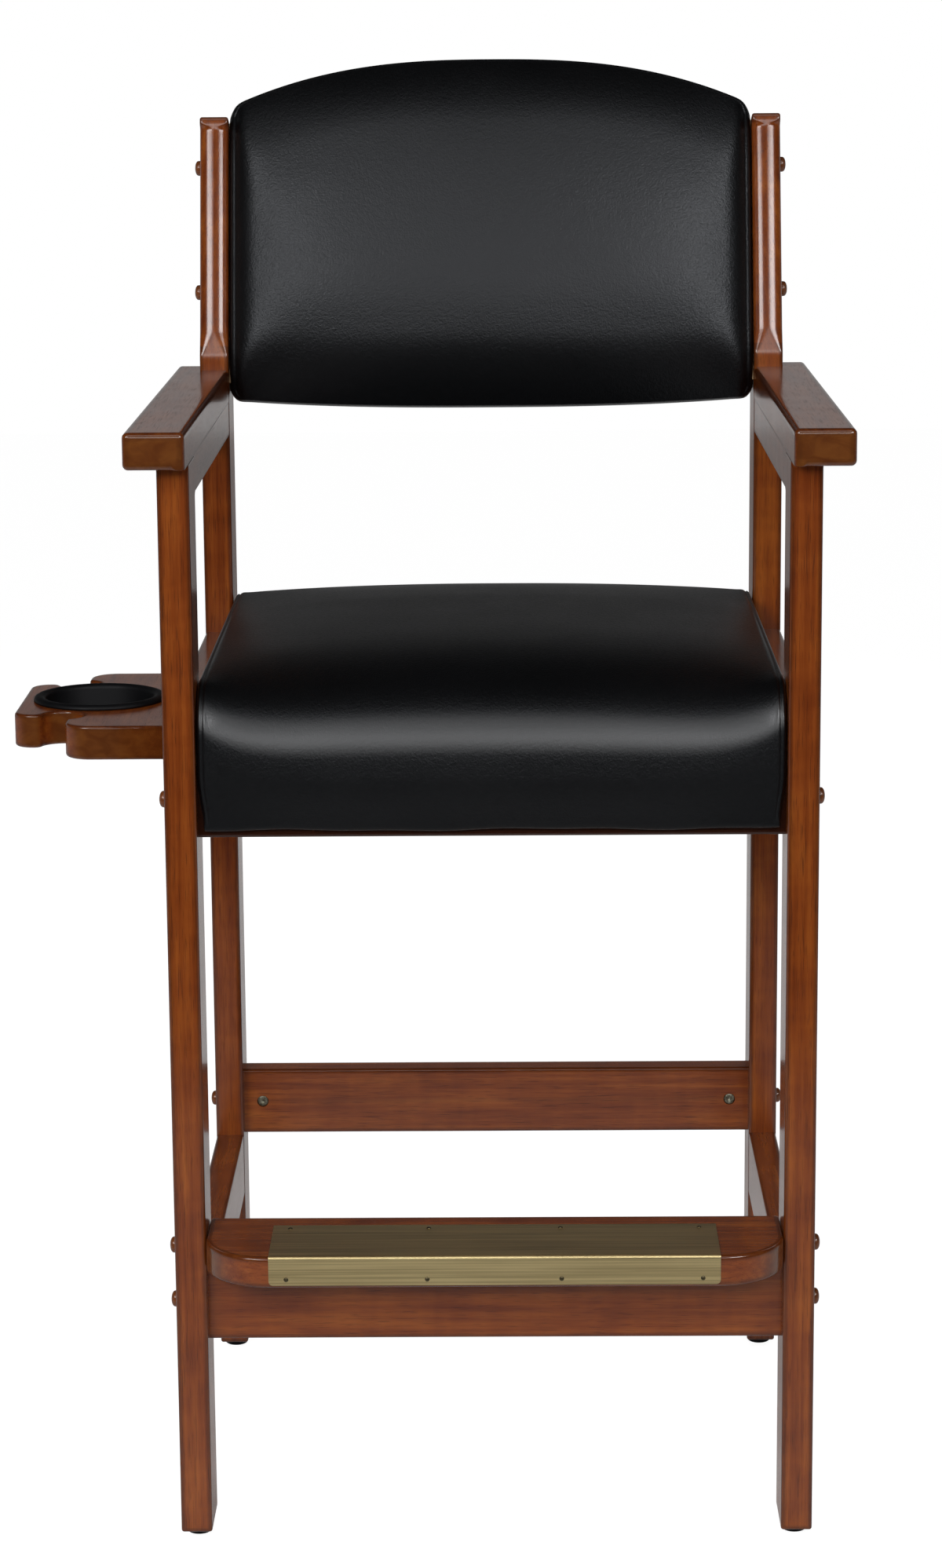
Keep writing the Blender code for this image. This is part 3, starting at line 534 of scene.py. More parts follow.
def arc(centre, radius, first, last, steps):
    """(u, v) places on an arc, angles in degrees."""
    places = []
    for step in range(steps + 1):
        turn = math.radians(first + (last - first) * step / steps)
        places.append((centre[0] + radius * math.cos(turn), centre[1] + radius * math.sin(turn)))
    return places


def corner(u, v, radius=EASE, rim=EASE, spread=None, low=1.0):
    return (u, v, radius, rim, rim if spread is None else spread, low)


def eased(corners):
    """The spots round a board, with every corner rounded to its radius."""
    outline = []
    for i, (u, v, radius, rim, spread, low) in enumerate(corners):
        here = Vector((u, v))
        if radius == 0:
            outline.append(Spot(here, 0.0, rim, spread, low, None, NO_LIMIT, Vector((0, 0))))
            continue
        before = (Vector(corners[i - 1][:2]) - here).normalized()
        after = (Vector(corners[(i + 1) % len(corners)][:2]) - here).normalized()
        half = before.angle(after) / 2
        reach = radius / math.tan(half)
        inward = (before + after).normalized() / math.sin(half)
        centre = here + inward * radius
        first = (here + before * reach - centre).normalized()
        last = (here + after * reach - centre).normalized()
        start = here + before * (reach + EDGE_BAND)
        outline.append(Spot(start, 0.0, rim, spread, low, None, NO_LIMIT, inward))
        for step in range(CORNER_STEPS + 1):
            spoke = first.slerp(last, step / CORNER_STEPS)
            outline.append(Spot(centre + spoke * radius, 1.0, rim, spread, low, -spoke, radius, inward))
        stop = here + after * (reach + EDGE_BAND)
        outline.append(Spot(stop, 0.0, rim, spread, low, None, NO_LIMIT, inward))
    return outline


def drawn_in(places):
    """The way that each place of an outline moves when the outline is drawn in by one metre."""
    ways = []
    for i, here in enumerate(places):
        before = here - places[i - 1]
        after = places[(i + 1) % len(places)] - here
        way = before.orthogonal().normalized() + after.orthogonal().normalized()
        ways.append(way * 2 / way.length_squared)
    return ways


print("outlines can be eased")

# %% Push an outline into a board
RIM_STEPS = 6
# A rounding wider than this is a worked shape. No darker edge line of stain and painted shade is laid along
# it.
WIDE_ROUND = 0.006
LEAST_FLAT = 0.0001
WELD = 0.00001


def put(axis, u, v, level):
    """A world place from two places on a board's face and one through its thickness."""
    spot = [u, v]
    spot.insert("xyz".index(axis), level)
    return CHAIR_PLACE + Vector(spot)


def bridge(shape, near, far):
    for i in range(len(near)):
        shape.faces.new((near[i - 1], near[i], far[i], far[i - 1]))


def round_ring(shape, axis, centre, radius, level, sides=64):
    ring = []
    for step in range(sides):
        turn = 2 * math.pi * step / sides
        u = centre[0] + radius * math.cos(turn)
        v = centre[1] + radius * math.sin(turn)
        ring.append(shape.verts.new(put(axis, u, v, level)))
    return ring


def loop_edges(shape, ring):
    return [shape.edges.get((ring[i - 1], ring[i])) for i in range(len(ring))]


def finish_faces(shape):
    """Shades all faces of a closed shape smoothly and turns them outwards."""
    for face in shape.faces:
        face.smooth = True
    bmesh.ops.recalc_face_normals(shape, faces=shape.faces)
    if shape.calc_volume(signed=True) < 0:
        bmesh.ops.reverse_faces(shape, faces=shape.faces)


def mesh_from(shape, name):
    """A mesh from a shape, which is then given up."""
    mesh = bpy.data.meshes.new(name)
    shape.to_mesh(mesh)
    shape.free()
    return mesh


def slab(outline, axis, low, high, holes=(), low_pockets=(), high_pockets=()):
    """A board through rings of its outline. Holes and pockets are ((u, v), radius, depth)."""
    shape = bmesh.new()
    dark_edge_layer = shape.verts.layers.float.new("edge")
    ways = drawn_in([spot.place for spot in outline])
    half_thick = (high - low) / 2
    steps = [(1.0, 0.0, EDGE_BAND, 0.0, 0.0)]
    for step in range(RIM_STEPS + 1):
        turn = math.pi / 2 * step / RIM_STEPS
        steps.append((1 - math.sin(turn), 1 - math.cos(turn), 0.0, 0.0, 1.0))
    steps.append((0.0, 1.0, 0.0, EDGE_BAND, 0.0))
    rings = []
    for level, sign, order in ((low, 1, steps), (high, -1, steps[::-1])):
        for inset, lift, more_inset, more_lift, mark in order:
            ring = []
            for spot, way in zip(outline, ways):
                way = spot.way or way
                share = spot.low if level == low else 1.0
                depth = share * spot.rim * inset + more_inset
                beyond = max(depth - spot.limit, 0)
                place = spot.place + way * min(depth, spot.limit) + spot.onward * beyond
                rise = min(share * spot.spread * lift + more_lift, half_thick - LEAST_FLAT)
                vert = shape.verts.new(put(axis, *place, level + sign * rise))
                # Vertices along the eased edges carry the darker line, partly stain and partly painted
                # shade.
                sharp = 1.0 if spot.spread < WIDE_ROUND else 0.0
                vert[dark_edge_layer] = max(mark * sharp, spot.mark if inset == 0 else 0.0)
                ring.append(vert)
            rings.append(ring)
    for near, far in zip(rings, rings[1:]):
        bridge(shape, near, far)
    bmesh.ops.remove_doubles(shape, verts=shape.verts, dist=WELD)
    middle = put(axis, 0, 0, (low + high) / 2)["xyz".index(axis)]
    rims = [line for line in shape.edges if len(line.link_faces) == 1]
    caps = {low: [], high: []}
    for line in rims:
        caps[low if line.verts[0].co["xyz".index(axis)] < middle else high].append(line)
    mouths = {low: [], high: []}
    crisp = []
    for centre, radius in holes:
        both = [round_ring(shape, axis, centre, radius, level) for level in (low, high)]
        bridge(shape, *both)
        for level, mouth in zip((low, high), both):
            mouths[level] += loop_edges(shape, mouth)
    for level, sign, pockets in ((low, 1, low_pockets), (high, -1, high_pockets)):
        for centre, radius, depth in pockets:
            mouth = round_ring(shape, axis, centre, radius, level, 32)
            foot = round_ring(shape, axis, centre, radius, level + sign * depth, 32)
            bridge(shape, mouth, foot)
            shape.faces.new(foot)
            mouths[level] += loop_edges(shape, mouth)
            crisp += loop_edges(shape, foot)
    through = put(axis, 0, 0, 1) - put(axis, 0, 0, 0)
    for level, lines in caps.items():
        if mouths[level]:
            both = lines + mouths[level]
            bmesh.ops.triangle_fill(shape, use_beauty=True, edges=both, normal=through)
        else:
            bmesh.ops.edgeloop_fill(shape, edges=lines)
    finish_faces(shape)
    for line in crisp + mouths[low] + mouths[high]:
        line.smooth = False
    return shape


print("outlines can be pushed into boards")

# %% Turn a shape into a finished piece
timber = random.Random(11)


def add_piece(name, mesh, finish, nodes, body="chair"):
    """Links a finished mesh to the frame in place of the solids that it stands for."""
    piece = bpy.data.objects.new(name, mesh)
    mesh.materials.clear()
    mesh.materials.append(finish)
    scene.collection.objects.link(piece)
    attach(piece, body)
    if nodes:
        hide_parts(*nodes)
    return piece


def add_board(node, shape, along):
    """A stained board whose grain runs along an axis, in place of its solid."""
    order = {"x": (0, 1, 2), "y": (1, 0, 2), "z": (2, 0, 1)}[along]
    start = Vector([timber.uniform(0, 4) for axis in order])
    grain_layer = shape.verts.layers.float_vector.new("grain")
    end_layer = shape.verts.layers.float.new("end")
    shape.normal_update()
    for vert in shape.verts:
        vert[grain_layer] = start + Vector([vert.co[axis] for axis in order])
        vert[end_layer] = abs(vert.normal[order[0]])
    name = node + "_wood"
    return add_piece(name, mesh_from(shape, name), stained_wood, [node])


print("shapes can become boards")

# %% [markdown]
# ## Legs and posts
#
# The front legs are plain upright boards. Each back leg is sawn from one wide board: upright to the arm,
# then raked back into the post. Above a square block at the arm the front of the post is worked to a flat
# curve, which leaves a small flat triangle over the block and runs on almost to the top. The front outline
# is therefore sampled closely, and each sample has its own rim.

# %% Front legs
GLIDE_SHOWS = 0.0098
LEG_BOTTOM = chair_box("glide_front_left")[0].z + GLIDE_SHOWS
ARM_LOW, ARM_HIGH = chair_box("arm_left")
SUNK = 0.010
BUTT = 0.0003
BUTT_ZONE = 0.006
SHY = 0.0002

for word, side in SIDES.items():
    x_low, x_high = sorted((side * INNER, side * HALF_WIDTH))
    top = ARM_LOW.z
    leg_corners = [corner(0, LEG_BOTTOM), corner(LEG_DEPTH, LEG_BOTTOM)]
    leg_corners += [corner(LEG_DEPTH, top - BUTT_ZONE, 0), corner(LEG_DEPTH, top, BUTT, BUTT)]
    leg_corners += [corner(0, top, BUTT, BUTT), corner(0, top - BUTT_ZONE, 0)]
    leg = slab(eased(leg_corners), "x", x_low, x_high)
    add_board(f"front_leg_{word}", leg, "z")
print("front legs stand from", round(LEG_BOTTOM, 4), "to", round(top, 4))

# %% Back legs with raked posts
LEG_PITCH = chair_box("back_leg_left")[0].y
POST_RAKE = math.radians(16.0)
POST_BEND = 0.060
POST_RISE = 0.212
POST_CROWN = 0.0070
POST_SPREAD = 0.0125
POST_SAMPLES = 130
# The crowned part of the post is set back a little. A flat stop below it and a short one above it lead to
# the plain ends. Both lie at a way up the front of the post from the arm.
POST_SET = 0.0008
LOW_STOP = (0.0133, 0.0344)
HIGH_STOP = (0.2172, 0.2226)
POST_END = 0.0056
FRONT_BEND = POST_BEND + LEG_DEPTH
RAKE_START = ARM_HIGH.z + FRONT_BEND * math.tan(POST_RAKE / 2)


def on_rake(up, back):
    """A (y, z) place from a place up the rake and back from the front of the posts."""
    y = LEG_PITCH + up * math.sin(POST_RAKE) + back * math.cos(POST_RAKE)
    z = RAKE_START + up * math.cos(POST_RAKE) - back * math.sin(POST_RAKE)
    return y, z


def ease_between(value, low, high):
    """0 below low, 1 above high and a soft step between them."""
    share = min(max((value - low) / (high - low), 0.0), 1.0)
    return share * share * (3 - 2 * share)


def post_front(way, back):
    """A (y, z) place at a way up the front of the post, round the bend, and back from it."""
    turn = min(way / FRONT_BEND, POST_RAKE)
    on = max(way - FRONT_BEND * POST_RAKE, 0)
    y = LEG_PITCH + FRONT_BEND * (1 - math.cos(turn)) + on * math.sin(turn) + back * math.cos(turn)
    z = ARM_HIGH.z + FRONT_BEND * math.sin(turn) + on * math.cos(turn) - back * math.sin(turn)
    return Vector((y, z))


def post_corner(way):
    """A place on the front of the post, with the rim that it has there."""
    low, high = LOW_STOP
    rising = min(max((way - low) / (high - low), 0), 1)
    share = min(rising, 1 - ease_between(way, *HIGH_STOP))
    place = post_front(way, POST_SET * share)
    if 0 < rising < 1:
        place = post_front(low, 0).lerp(post_front(high, POST_SET), rising)
    rim = EASE + (POST_CROWN - EASE) * share
    spread = EASE + (POST_SPREAD - EASE) * share
    return corner(*place, 0, rim, spread)


def back_leg_outline():
    bend = arc((LEG_PITCH + FRONT_BEND, ARM_HIGH.z), POST_BEND, 180, 180 - math.degrees(POST_RAKE), 6)
    corners = [corner(LEG_PITCH, LEG_BOTTOM), corner(LEG_PITCH + LEG_DEPTH, LEG_BOTTOM)]
    corners += [corner(*place, 0) for place in bend]
    corners += [corner(*on_rake(POST_RISE, LEG_DEPTH)), corner(*on_rake(POST_RISE, 0))]
    bend_end = FRONT_BEND * (POST_RAKE - math.tan(POST_RAKE / 2))
    high = bend_end + POST_RISE - POST_END
    for step in range(POST_SAMPLES + 1):
        corners.append(post_corner(high * (1 - step / POST_SAMPLES)))
    return eased(corners)


for word, side in SIDES.items():
    x_low, x_high = sorted((side * INNER, side * HALF_WIDTH))
    add_board(f"back_leg_{word}", slab(back_leg_outline(), "x", x_low, x_high), "z")
print("posts rise to", round(on_rake(POST_RISE, 0)[1], 3))

# %% [markdown]
# ## Arms, rails and stretchers
#
# The arms are notched round the posts. Each rail and stretcher is let a few millimetres into its neighbours
# here, as a housed joint is, so that its rounded ends stay out of sight and the joints close tightly. Where
# two boards are flush, the one let in is a hair thinner, because two faces in one plane would render as a
# black patch. The nuts and screws sit in shallow pockets, which are left open in the faces of the boards.

# %% Arms
ARM_EASE = 0.0042
ARM_CORNER = 0.0045
FLUSH = 0.12
FLUSH_END = 0.010

for word, side in SIDES.items():
    inner, outer = INNER + SHY, INNER + (ARM_HIGH.x - ARM_LOW.x)
    tail = ARM_HIGH.y
    face = LEG_PITCH + SUNK
    notch = HALF_WIDTH - SUNK
    arm_corners = [
        corner(inner, ARM_LOW.y, ARM_CORNER, ARM_EASE, None, FLUSH),
        corner(inner + FLUSH_END, ARM_LOW.y, 0, ARM_EASE),
        corner(outer, ARM_LOW.y, ARM_CORNER, ARM_EASE),
        corner(outer, tail, ARM_CORNER, ARM_EASE),
        corner(notch, tail, ARM_EASE, ARM_EASE),
        corner(notch, face, 0, ARM_EASE),
        corner(inner, face, ARM_EASE, ARM_EASE, None, FLUSH),
    ]
    arm_corners = [(side * u, *rest) for u, *rest in arm_corners][::side]
    add_board(f"arm_{word}", slab(eased(arm_corners), "z", ARM_LOW.z, ARM_HIGH.z), "y")
print("arms", round(1000 * (tail - ARM_LOW.y)), "mm long")

# %% Boards of the side frames
RAIL_COVE = 0.010
COVE_GAP = 0.0013
SCREW_POCKET = 0.0048
SCREW_DEPTH = 0.006
NEAR = LEG_DEPTH - SUNK
FAR = LEG_PITCH + SUNK


def plain_board(u_low, u_high, v_low, v_high, axis, low, high, **pockets):
    """A board with four square corners."""
    places = [(u_low, v_low), (u_high, v_low), (u_high, v_high), (u_low, v_high)]
    return slab(eased([corner(*place) for place in places]), axis, low, high, **pockets)


screw_places = []
for word in ("front", "back"):
    middle = chair_middle(f"tray_screw_{word}")
    screw_places.append(((middle.y, middle.z), SCREW_POCKET, SCREW_DEPTH))
for word, side in SIDES.items():
    x_low, x_high = sorted((side * (INNER + 2 * SHY), side * (HALF_WIDTH - 2 * SHY)))
    for node in ("seat_side_rail", "side_stretcher"):
        low, high = chair_box(f"{node}_{word}")
        pockets = screw_places if node == "seat_side_rail" and word == "left" else ()
        shape = plain_board(NEAR, FAR, low.z, high.z, "x", x_low, x_high, high_pockets=pockets)
        add_board(f"{node}_{word}", shape, "y")
    low, high = chair_box(f"arm_rail_{word}")
    top = high.z + SUNK
    start = LEG_DEPTH + COVE_GAP
    ends = [corner(NEAR, low.z), corner(start, low.z, 0)]
    ends += [corner(*place, 0) for place in arc((start + RAIL_COVE, low.z), RAIL_COVE, 180, 90, 8)]
    ends += [corner(FAR, low.z + RAIL_COVE), corner(FAR, top), corner(NEAR, top)]
    add_board(f"arm_rail_{word}", slab(eased(ends), "x", x_low, x_high), "y")
print("six side boards run from", round(NEAR, 3), "to", round(FAR, 3))

# %% Boards between the side frames
NUT_POCKET = 0.0053
NUT_DEPTH = 0.004
NUT_WAYS = {
    "rear_stretcher": (0, -1, 0),
    "seat_back": (0, -1, 0),
    "seat_front": (0, 1, 0),
    "front_stretcher": (0, 1, 0),
    "foot_board": (0, 0, -1),
}
CROSS_BOARDS = {
    "seat_front_rail": "seat_front",
    "seat_back_rail": "seat_back",
    "rear_stretcher": "rear_stretcher",
    "front_stretcher": "front_stretcher",
}
# Only a thin strip of the front rail shows under the leather. It is painted dark all over, as painted shade
# for the shadow under the overhanging hem.
PAINTED_HEM_SHADE = 2.2


def nut_spots(joint, axis):
    """The pockets of the two barrel nuts of a joint, on the face that they go into."""
    spots = []
    for word in SIDES:
        middle = list(chair_middle(f"barrel_nut_{joint}_{word}"))
        middle.pop("xyz".index(axis))
        spots.append((tuple(middle), NUT_POCKET, NUT_DEPTH))
    return spots


for node, joint in CROSS_BOARDS.items():
    low, high = chair_box(node)
    reach = INNER + SUNK
    side = "low_pockets" if NUT_WAYS[joint][1] < 0 else "high_pockets"
    pockets = {side: nut_spots(joint, "y")}
    shape = plain_board(-reach, reach, low.z, high.z, "y", low.y, high.y, **pockets)
    # Painted shade: the whole rail gets the dark edge colour, for the shadow that the hem casts on it.
    if node == "seat_front_rail":
        dark_edge_layer = shape.verts.layers.float["edge"]
        for vert in shape.verts:
            vert[dark_edge_layer] = PAINTED_HEM_SHADE
    add_board(node, shape, "x")
print("boards across:", ", ".join(CROSS_BOARDS))

# %% Foot board
BOARD_CORNER = 0.053
BOARD_RIM = 0.003
BOARD_EASE = 0.0032
board_low, board_high = chair_box("foot_board")
board_corners = [corner(x, board_high.y, BOARD_EASE, BOARD_RIM) for x in (board_high.x, board_low.x)]
for middle, first in ((board_low.x + BOARD_CORNER, 180), (board_high.x - BOARD_CORNER, 270)):
    quarter = arc((middle, board_low.y + BOARD_CORNER), BOARD_CORNER, first, first + 90, 24)
    board_corners += [corner(*place, 0, BOARD_RIM) for place in quarter]
pockets = nut_spots("foot_board", "z")
shape = slab(eased(board_corners), "z", board_low.z, board_high.z, low_pockets=pockets)
add_board("foot_board", shape, "x")
print("foot board", round(1000 * (board_high.x - board_low.x)), "mm wide")

# %% [markdown]
# ## The tray
#
# The tray is one board, cut from above with two prongs, a round notch beside each for a cue, and a tab for
# the cup. Half of the outline is drawn with arcs that touch, and mirrored. The hole for the cup goes right
# through, because the cup lifts out.

# %% Tray
TRAY_WIDTH = 0.094
TRAY_CORNER = 0.022
TAB_LENGTH = 0.146
TAB_CORNER = 0.016
NOTCH_RADIUS = 0.018
NOTCH_OUT = 0.100
NOTCH_TAB = 0.008
NOTCH_PRONG = 0.005
tray_low, tray_high = chair_box("cup_tray")
TRAY_MIDDLE = (tray_low.y + tray_high.y) / 2
TRAY_HALF = (tray_high.y - tray_low.y) / 2
TAB_REACH = -HALF_WIDTH - tray_low.x
cup_low, cup_high = chair_box("cup_insert")
CUP_MIDDLE = chair_middle("cup_insert")
CUP_HOLE = 0.0485


def tray_half():
    """One prong, cue notch and tab corner of the tray, from above."""
    line = -TAB_LENGTH / 2
    places = [(BUTT, -TRAY_HALF)]
    places += arc((TRAY_WIDTH - TRAY_CORNER, TRAY_CORNER - TRAY_HALF), TRAY_CORNER, 270, 360, 12)
    beside = TRAY_WIDTH - NOTCH_PRONG - NOTCH_OUT
    drop = math.sqrt((NOTCH_RADIUS + NOTCH_PRONG) ** 2 - beside**2)
    meet_prong = math.degrees(math.atan2(-drop, beside))
    places += arc((TRAY_WIDTH - NOTCH_PRONG, line - drop), NOTCH_PRONG, 0, meet_prong + 180, 6)
    step_out = math.sqrt((NOTCH_RADIUS + NOTCH_TAB) ** 2 - NOTCH_TAB**2)
    meet_tab = math.degrees(math.atan2(NOTCH_TAB, step_out))
    places += arc((NOTCH_OUT, line), NOTCH_RADIUS, meet_prong + 360, meet_tab, 28)[1:]
    places += arc((NOTCH_OUT + step_out, line + NOTCH_TAB), NOTCH_TAB, meet_tab + 180, 270, 8)[1:]
    places += arc((TAB_REACH - TAB_CORNER, line + TAB_CORNER), TAB_CORNER, 270, 360, 10)
    return places


half_tray = tray_half()
whole_tray = half_tray + [(out, -along) for out, along in reversed(half_tray)]
tray_corners = [corner(-HALF_WIDTH - out, TRAY_MIDDLE + along, 0) for out, along in whole_tray]
cup_hole = ((CUP_MIDDLE.x, CUP_MIDDLE.y), CUP_HOLE)
shape = slab(eased(tray_corners[::-1]), "z", tray_low.z, tray_high.z, holes=[cup_hole])
add_board("cup_tray", shape, "y")
print("tray", round(2000 * TRAY_HALF), "mm long")

# %% [markdown]
# ## The brass plate
#
# A thin brass sheet is bent over the front edge of the foot board and held by four nails in front and four
# on top. It is laid as a grid that follows the bend, narrows at its two rounded lower corners, and gets its
# thickness from Solidify.

# %% Bend the plate
PLATE_THICK = 0.0009
PLATE_BEND = 0.0024
PLATE_CORNER = 0.0036
PLATE_STATIONS = 60
# Rows close to the bend and to the lower corners keep the rest of the sheet flat.
BEND_ROW = 0.0005
CORNER_ROW = 0.004
plate_low, plate_high = chair_box("foot_plate")
plate_run = [(plate_high.y, plate_high.z), (chair_middle("foot_plate").y, plate_high.z)]
plate_run.append((plate_low.y + PLATE_BEND + BEND_ROW, plate_high.z))
plate_run += arc((plate_low.y + PLATE_BEND, plate_high.z - PLATE_BEND), PLATE_BEND, 90, 180, 6)
plate_run.append((plate_low.y, plate_high.z - PLATE_BEND - BEND_ROW))
plate_run.append((plate_low.y, plate_low.z + PLATE_CORNER + CORNER_ROW))
for step in range(7):
    turn = math.pi / 2 * step / 6
    plate_run.append((plate_low.y, plate_low.z + PLATE_CORNER * (1 - math.sin(turn))))


def plate_half(z):
    """Half the length of the plate at a height, less in the rounded lower corners."""
    deep = min(max(plate_low.z + PLATE_CORNER - z, 0), PLATE_CORNER)
    return plate_high.x - PLATE_CORNER + math.sqrt(PLATE_CORNER**2 - deep**2)


shape = bmesh.new()
rows = []
for y, z in plate_run:
    row = []
    for station in range(PLATE_STATIONS + 1):
        x = plate_half(z) * (2 * station / PLATE_STATIONS - 1)
        row.append(shape.verts.new(CHAIR_PLACE + Vector((x, y, z))))
    rows.append(row)
for near, far in zip(rows, rows[1:]):
    for i in range(PLATE_STATIONS):
        shape.faces.new((near[i], far[i], far[i + 1], near[i + 1])).smooth = True
for line in shape.edges:
    line.smooth = not line.is_boundary
mesh = mesh_from(shape, "foot_plate_brass")
plate = add_piece("foot_plate_brass", mesh, antique_brass, ["foot_plate"])
thickness = plate.modifiers.new("thickness", "SOLIDIFY")
thickness.thickness = PLATE_THICK
thickness.offset = -1
print("brass plate", round(2000 * plate_high.x), "mm long")

# %% [markdown]
# ## Turned and repeated fittings
#
# Bolt caps, nuts, nails, glides and the cup are all turned: a profile swept once round an axis. A first
# Geometry Nodes tree does the turning, by sweeping the profile round a circle. A second one sets a turned
# piece on every point of a list, each facing the way that the point says, so fourteen caps cost no more work
# than one.

# %% A tree that turns a profile
LATHE_RADIUS = 0.01
LATHE_WELD = 0.000002


def new_tree(name, word, kind):
    """A Geometry Nodes tree with one more input. Returns it, a first wire and a wire from each input."""
    tree = bpy.data.node_groups.new(name, "GeometryNodeTree")
    tree.interface.new_socket("Geometry", in_out="INPUT", socket_type="NodeSocketGeometry")
    tree.interface.new_socket(word, in_out="INPUT", socket_type=kind)
    tree.interface.new_socket("Geometry", in_out="OUTPUT", socket_type="NodeSocketGeometry")
    first = Wire(tree)
    return tree, first, first.node("NodeGroupInput"), first.node("NodeGroupInput", output=word)


turning, first, profile, sides = new_tree("turn_profile", "Sides", "NodeSocketInt")
path = first.node("GeometryNodeCurvePrimitiveCircle", None, {"Resolution": sides, "Radius": LATHE_RADIUS})
line = first.node("GeometryNodeMeshToCurve", None, {"Mesh": profile})
swept = first.node("GeometryNodeCurveToMesh", None, {"Curve": path, "Profile Curve": line})
closed = first.node("GeometryNodeMergeByDistance", None, {"Geometry": swept, "Distance": LATHE_WELD})
first.node("NodeGroupOutput", None, {"Geometry": closed})
print("tree:", turning.name)

# %% A tree that sets pieces in place
placing, first, points, model = new_tree("set_in_place", "Piece", "NodeSocketObject")
turned = first.node("GeometryNodeObjectInfo", None, {"Object": model}, "Geometry")
facing = first.node("GeometryNodeInputNamedAttribute", {"data_type": "FLOAT_VECTOR"}, {"Name": "facing"})
aimed = first.node("FunctionNodeAlignRotationToVector", {"axis": "Z"}, {"Vector": facing})
spread = first.node(
    "GeometryNodeInstanceOnPoints", None, {"Points": points, "Instance": turned, "Rotation": aimed}
)
solid = first.node("GeometryNodeRealizeInstances", None, {"Geometry": spread})
first.node("NodeGroupOutput", None, {"Geometry": solid})
print("tree:", placing.name)

# %% Run a tree and keep its result


def run_tree(name, mesh, tree, word, value):
    """The plain mesh that a tree makes from a mesh and the value of its other input."""
    thing = bpy.data.objects.new(name, mesh)
    scene.collection.objects.link(thing)
    modifier = thing.modifiers.new(tree.name, "NODES")
    modifier.node_group = tree
    modifier[tree.interface.items_tree[word].identifier] = value
    done = thing.evaluated_get(bpy.context.evaluated_depsgraph_get())
    result = bpy.data.meshes.new_from_object(done)
    bpy.data.objects.remove(thing)
    shape = bmesh.new()
    shape.from_mesh(result)
    finish_faces(shape)
    bpy.data.meshes.remove(result)
    return mesh_from(shape, name)


def turn(name, profile, sides):
    """A turned mesh from (radius, height) points."""
    mesh = bpy.data.meshes.new(name)
    points = [(radius - LATHE_RADIUS, -height, 0) for radius, height in profile]
    mesh.from_pydata(points, [(i, i + 1) for i in range(len(points) - 1)], [])
    return run_tree(name, mesh, turning, "Sides", sides)


def set_in_place(name, profile, places, finish, nodes, sides=32):
    """One piece with a turned shape at every (place, facing) pair."""
    model = bpy.data.objects.new(name + "_model", turn(name + "_model", profile, sides))
    points = bpy.data.meshes.new(name)
    points.from_pydata([CHAIR_PLACE + Vector(place) for place, way in places], [], [])
    ways = points.attributes.new("facing", "FLOAT_VECTOR", "POINT")
    for item, (place, way) in zip(ways.data, places):
        item.vector = way
    mesh = run_tree(name, points, placing, "Piece", model)
    bpy.data.objects.remove(model)
    add_piece(name, mesh, finish, nodes)
    print(len(places), name.replace("_", " "))


print("trees can be run")

# %% Bolt caps
CAP_RADIUS = 0.0067
CAP_HEIGHT = 0.0062
CAP_EDGE = 0.0022
CAP_SUNK = 0.003
CAP_DOME = 0.7
CAP_FOOT = 0.8
CAP_SIDE = 0.6
JOINTS = ["seat_front", "seat_back", "rear_stretcher", "front_stretcher", "foot_board"]
JOINTS += ["back_low", "back_high"]
cap_profile = [(0, -CAP_SUNK), (CAP_RADIUS * CAP_FOOT, -CAP_SUNK)]
cap_profile += [(CAP_RADIUS, 0), (CAP_RADIUS, CAP_EDGE * CAP_SIDE)]
for step in range(9):
    turn_by = math.pi / 2 * (1 - step / 8)
    rise = CAP_EDGE + (CAP_HEIGHT - CAP_EDGE) * math.cos(turn_by) ** CAP_DOME
    cap_profile.append((CAP_RADIUS * math.sin(turn_by), rise))
cap_places = []
for joint in JOINTS:
    for word, side in SIDES.items():
        middle = chair_middle(f"bolt_{joint}_{word}")
        cap_places.append(((side * HALF_WIDTH, middle.y, middle.z), (side, 0, 0)))
bolt_nodes = [f"bolt_{joint}_{word}" for joint in JOINTS for word in SIDES]
set_in_place("bolt_caps", cap_profile, cap_places, brown_cap, bolt_nodes)

# %% Barrel nuts
NUT_RADIUS = 0.005
NUT_SUNK = 0.003
NUT_EASE = 0.0006
NUT_CHAMFER = 0.0005
NUT_MOUTH = 0.0018
NUT_HOLE = 0.0013
NUT_FLOOR = 0.0008
nut_profile = [(0, -NUT_SUNK), (NUT_RADIUS, -NUT_SUNK), (NUT_RADIUS, -NUT_EASE)]
nut_profile += [(NUT_RADIUS - NUT_CHAMFER, 0), (NUT_MOUTH, 0), (NUT_HOLE, -NUT_EASE), (0, -NUT_FLOOR)]
nut_places = []
nut_nodes = []
for joint, way in NUT_WAYS.items():
    for word in SIDES:
        node = f"barrel_nut_{joint}_{word}"
        low, high = chair_box(node)
        nut_places.append((chair_middle(node) + (high - low) / 2 * Vector(way), way))
        nut_nodes.append(node)
set_in_place("barrel_nuts", nut_profile, nut_places, dull_steel, nut_nodes)

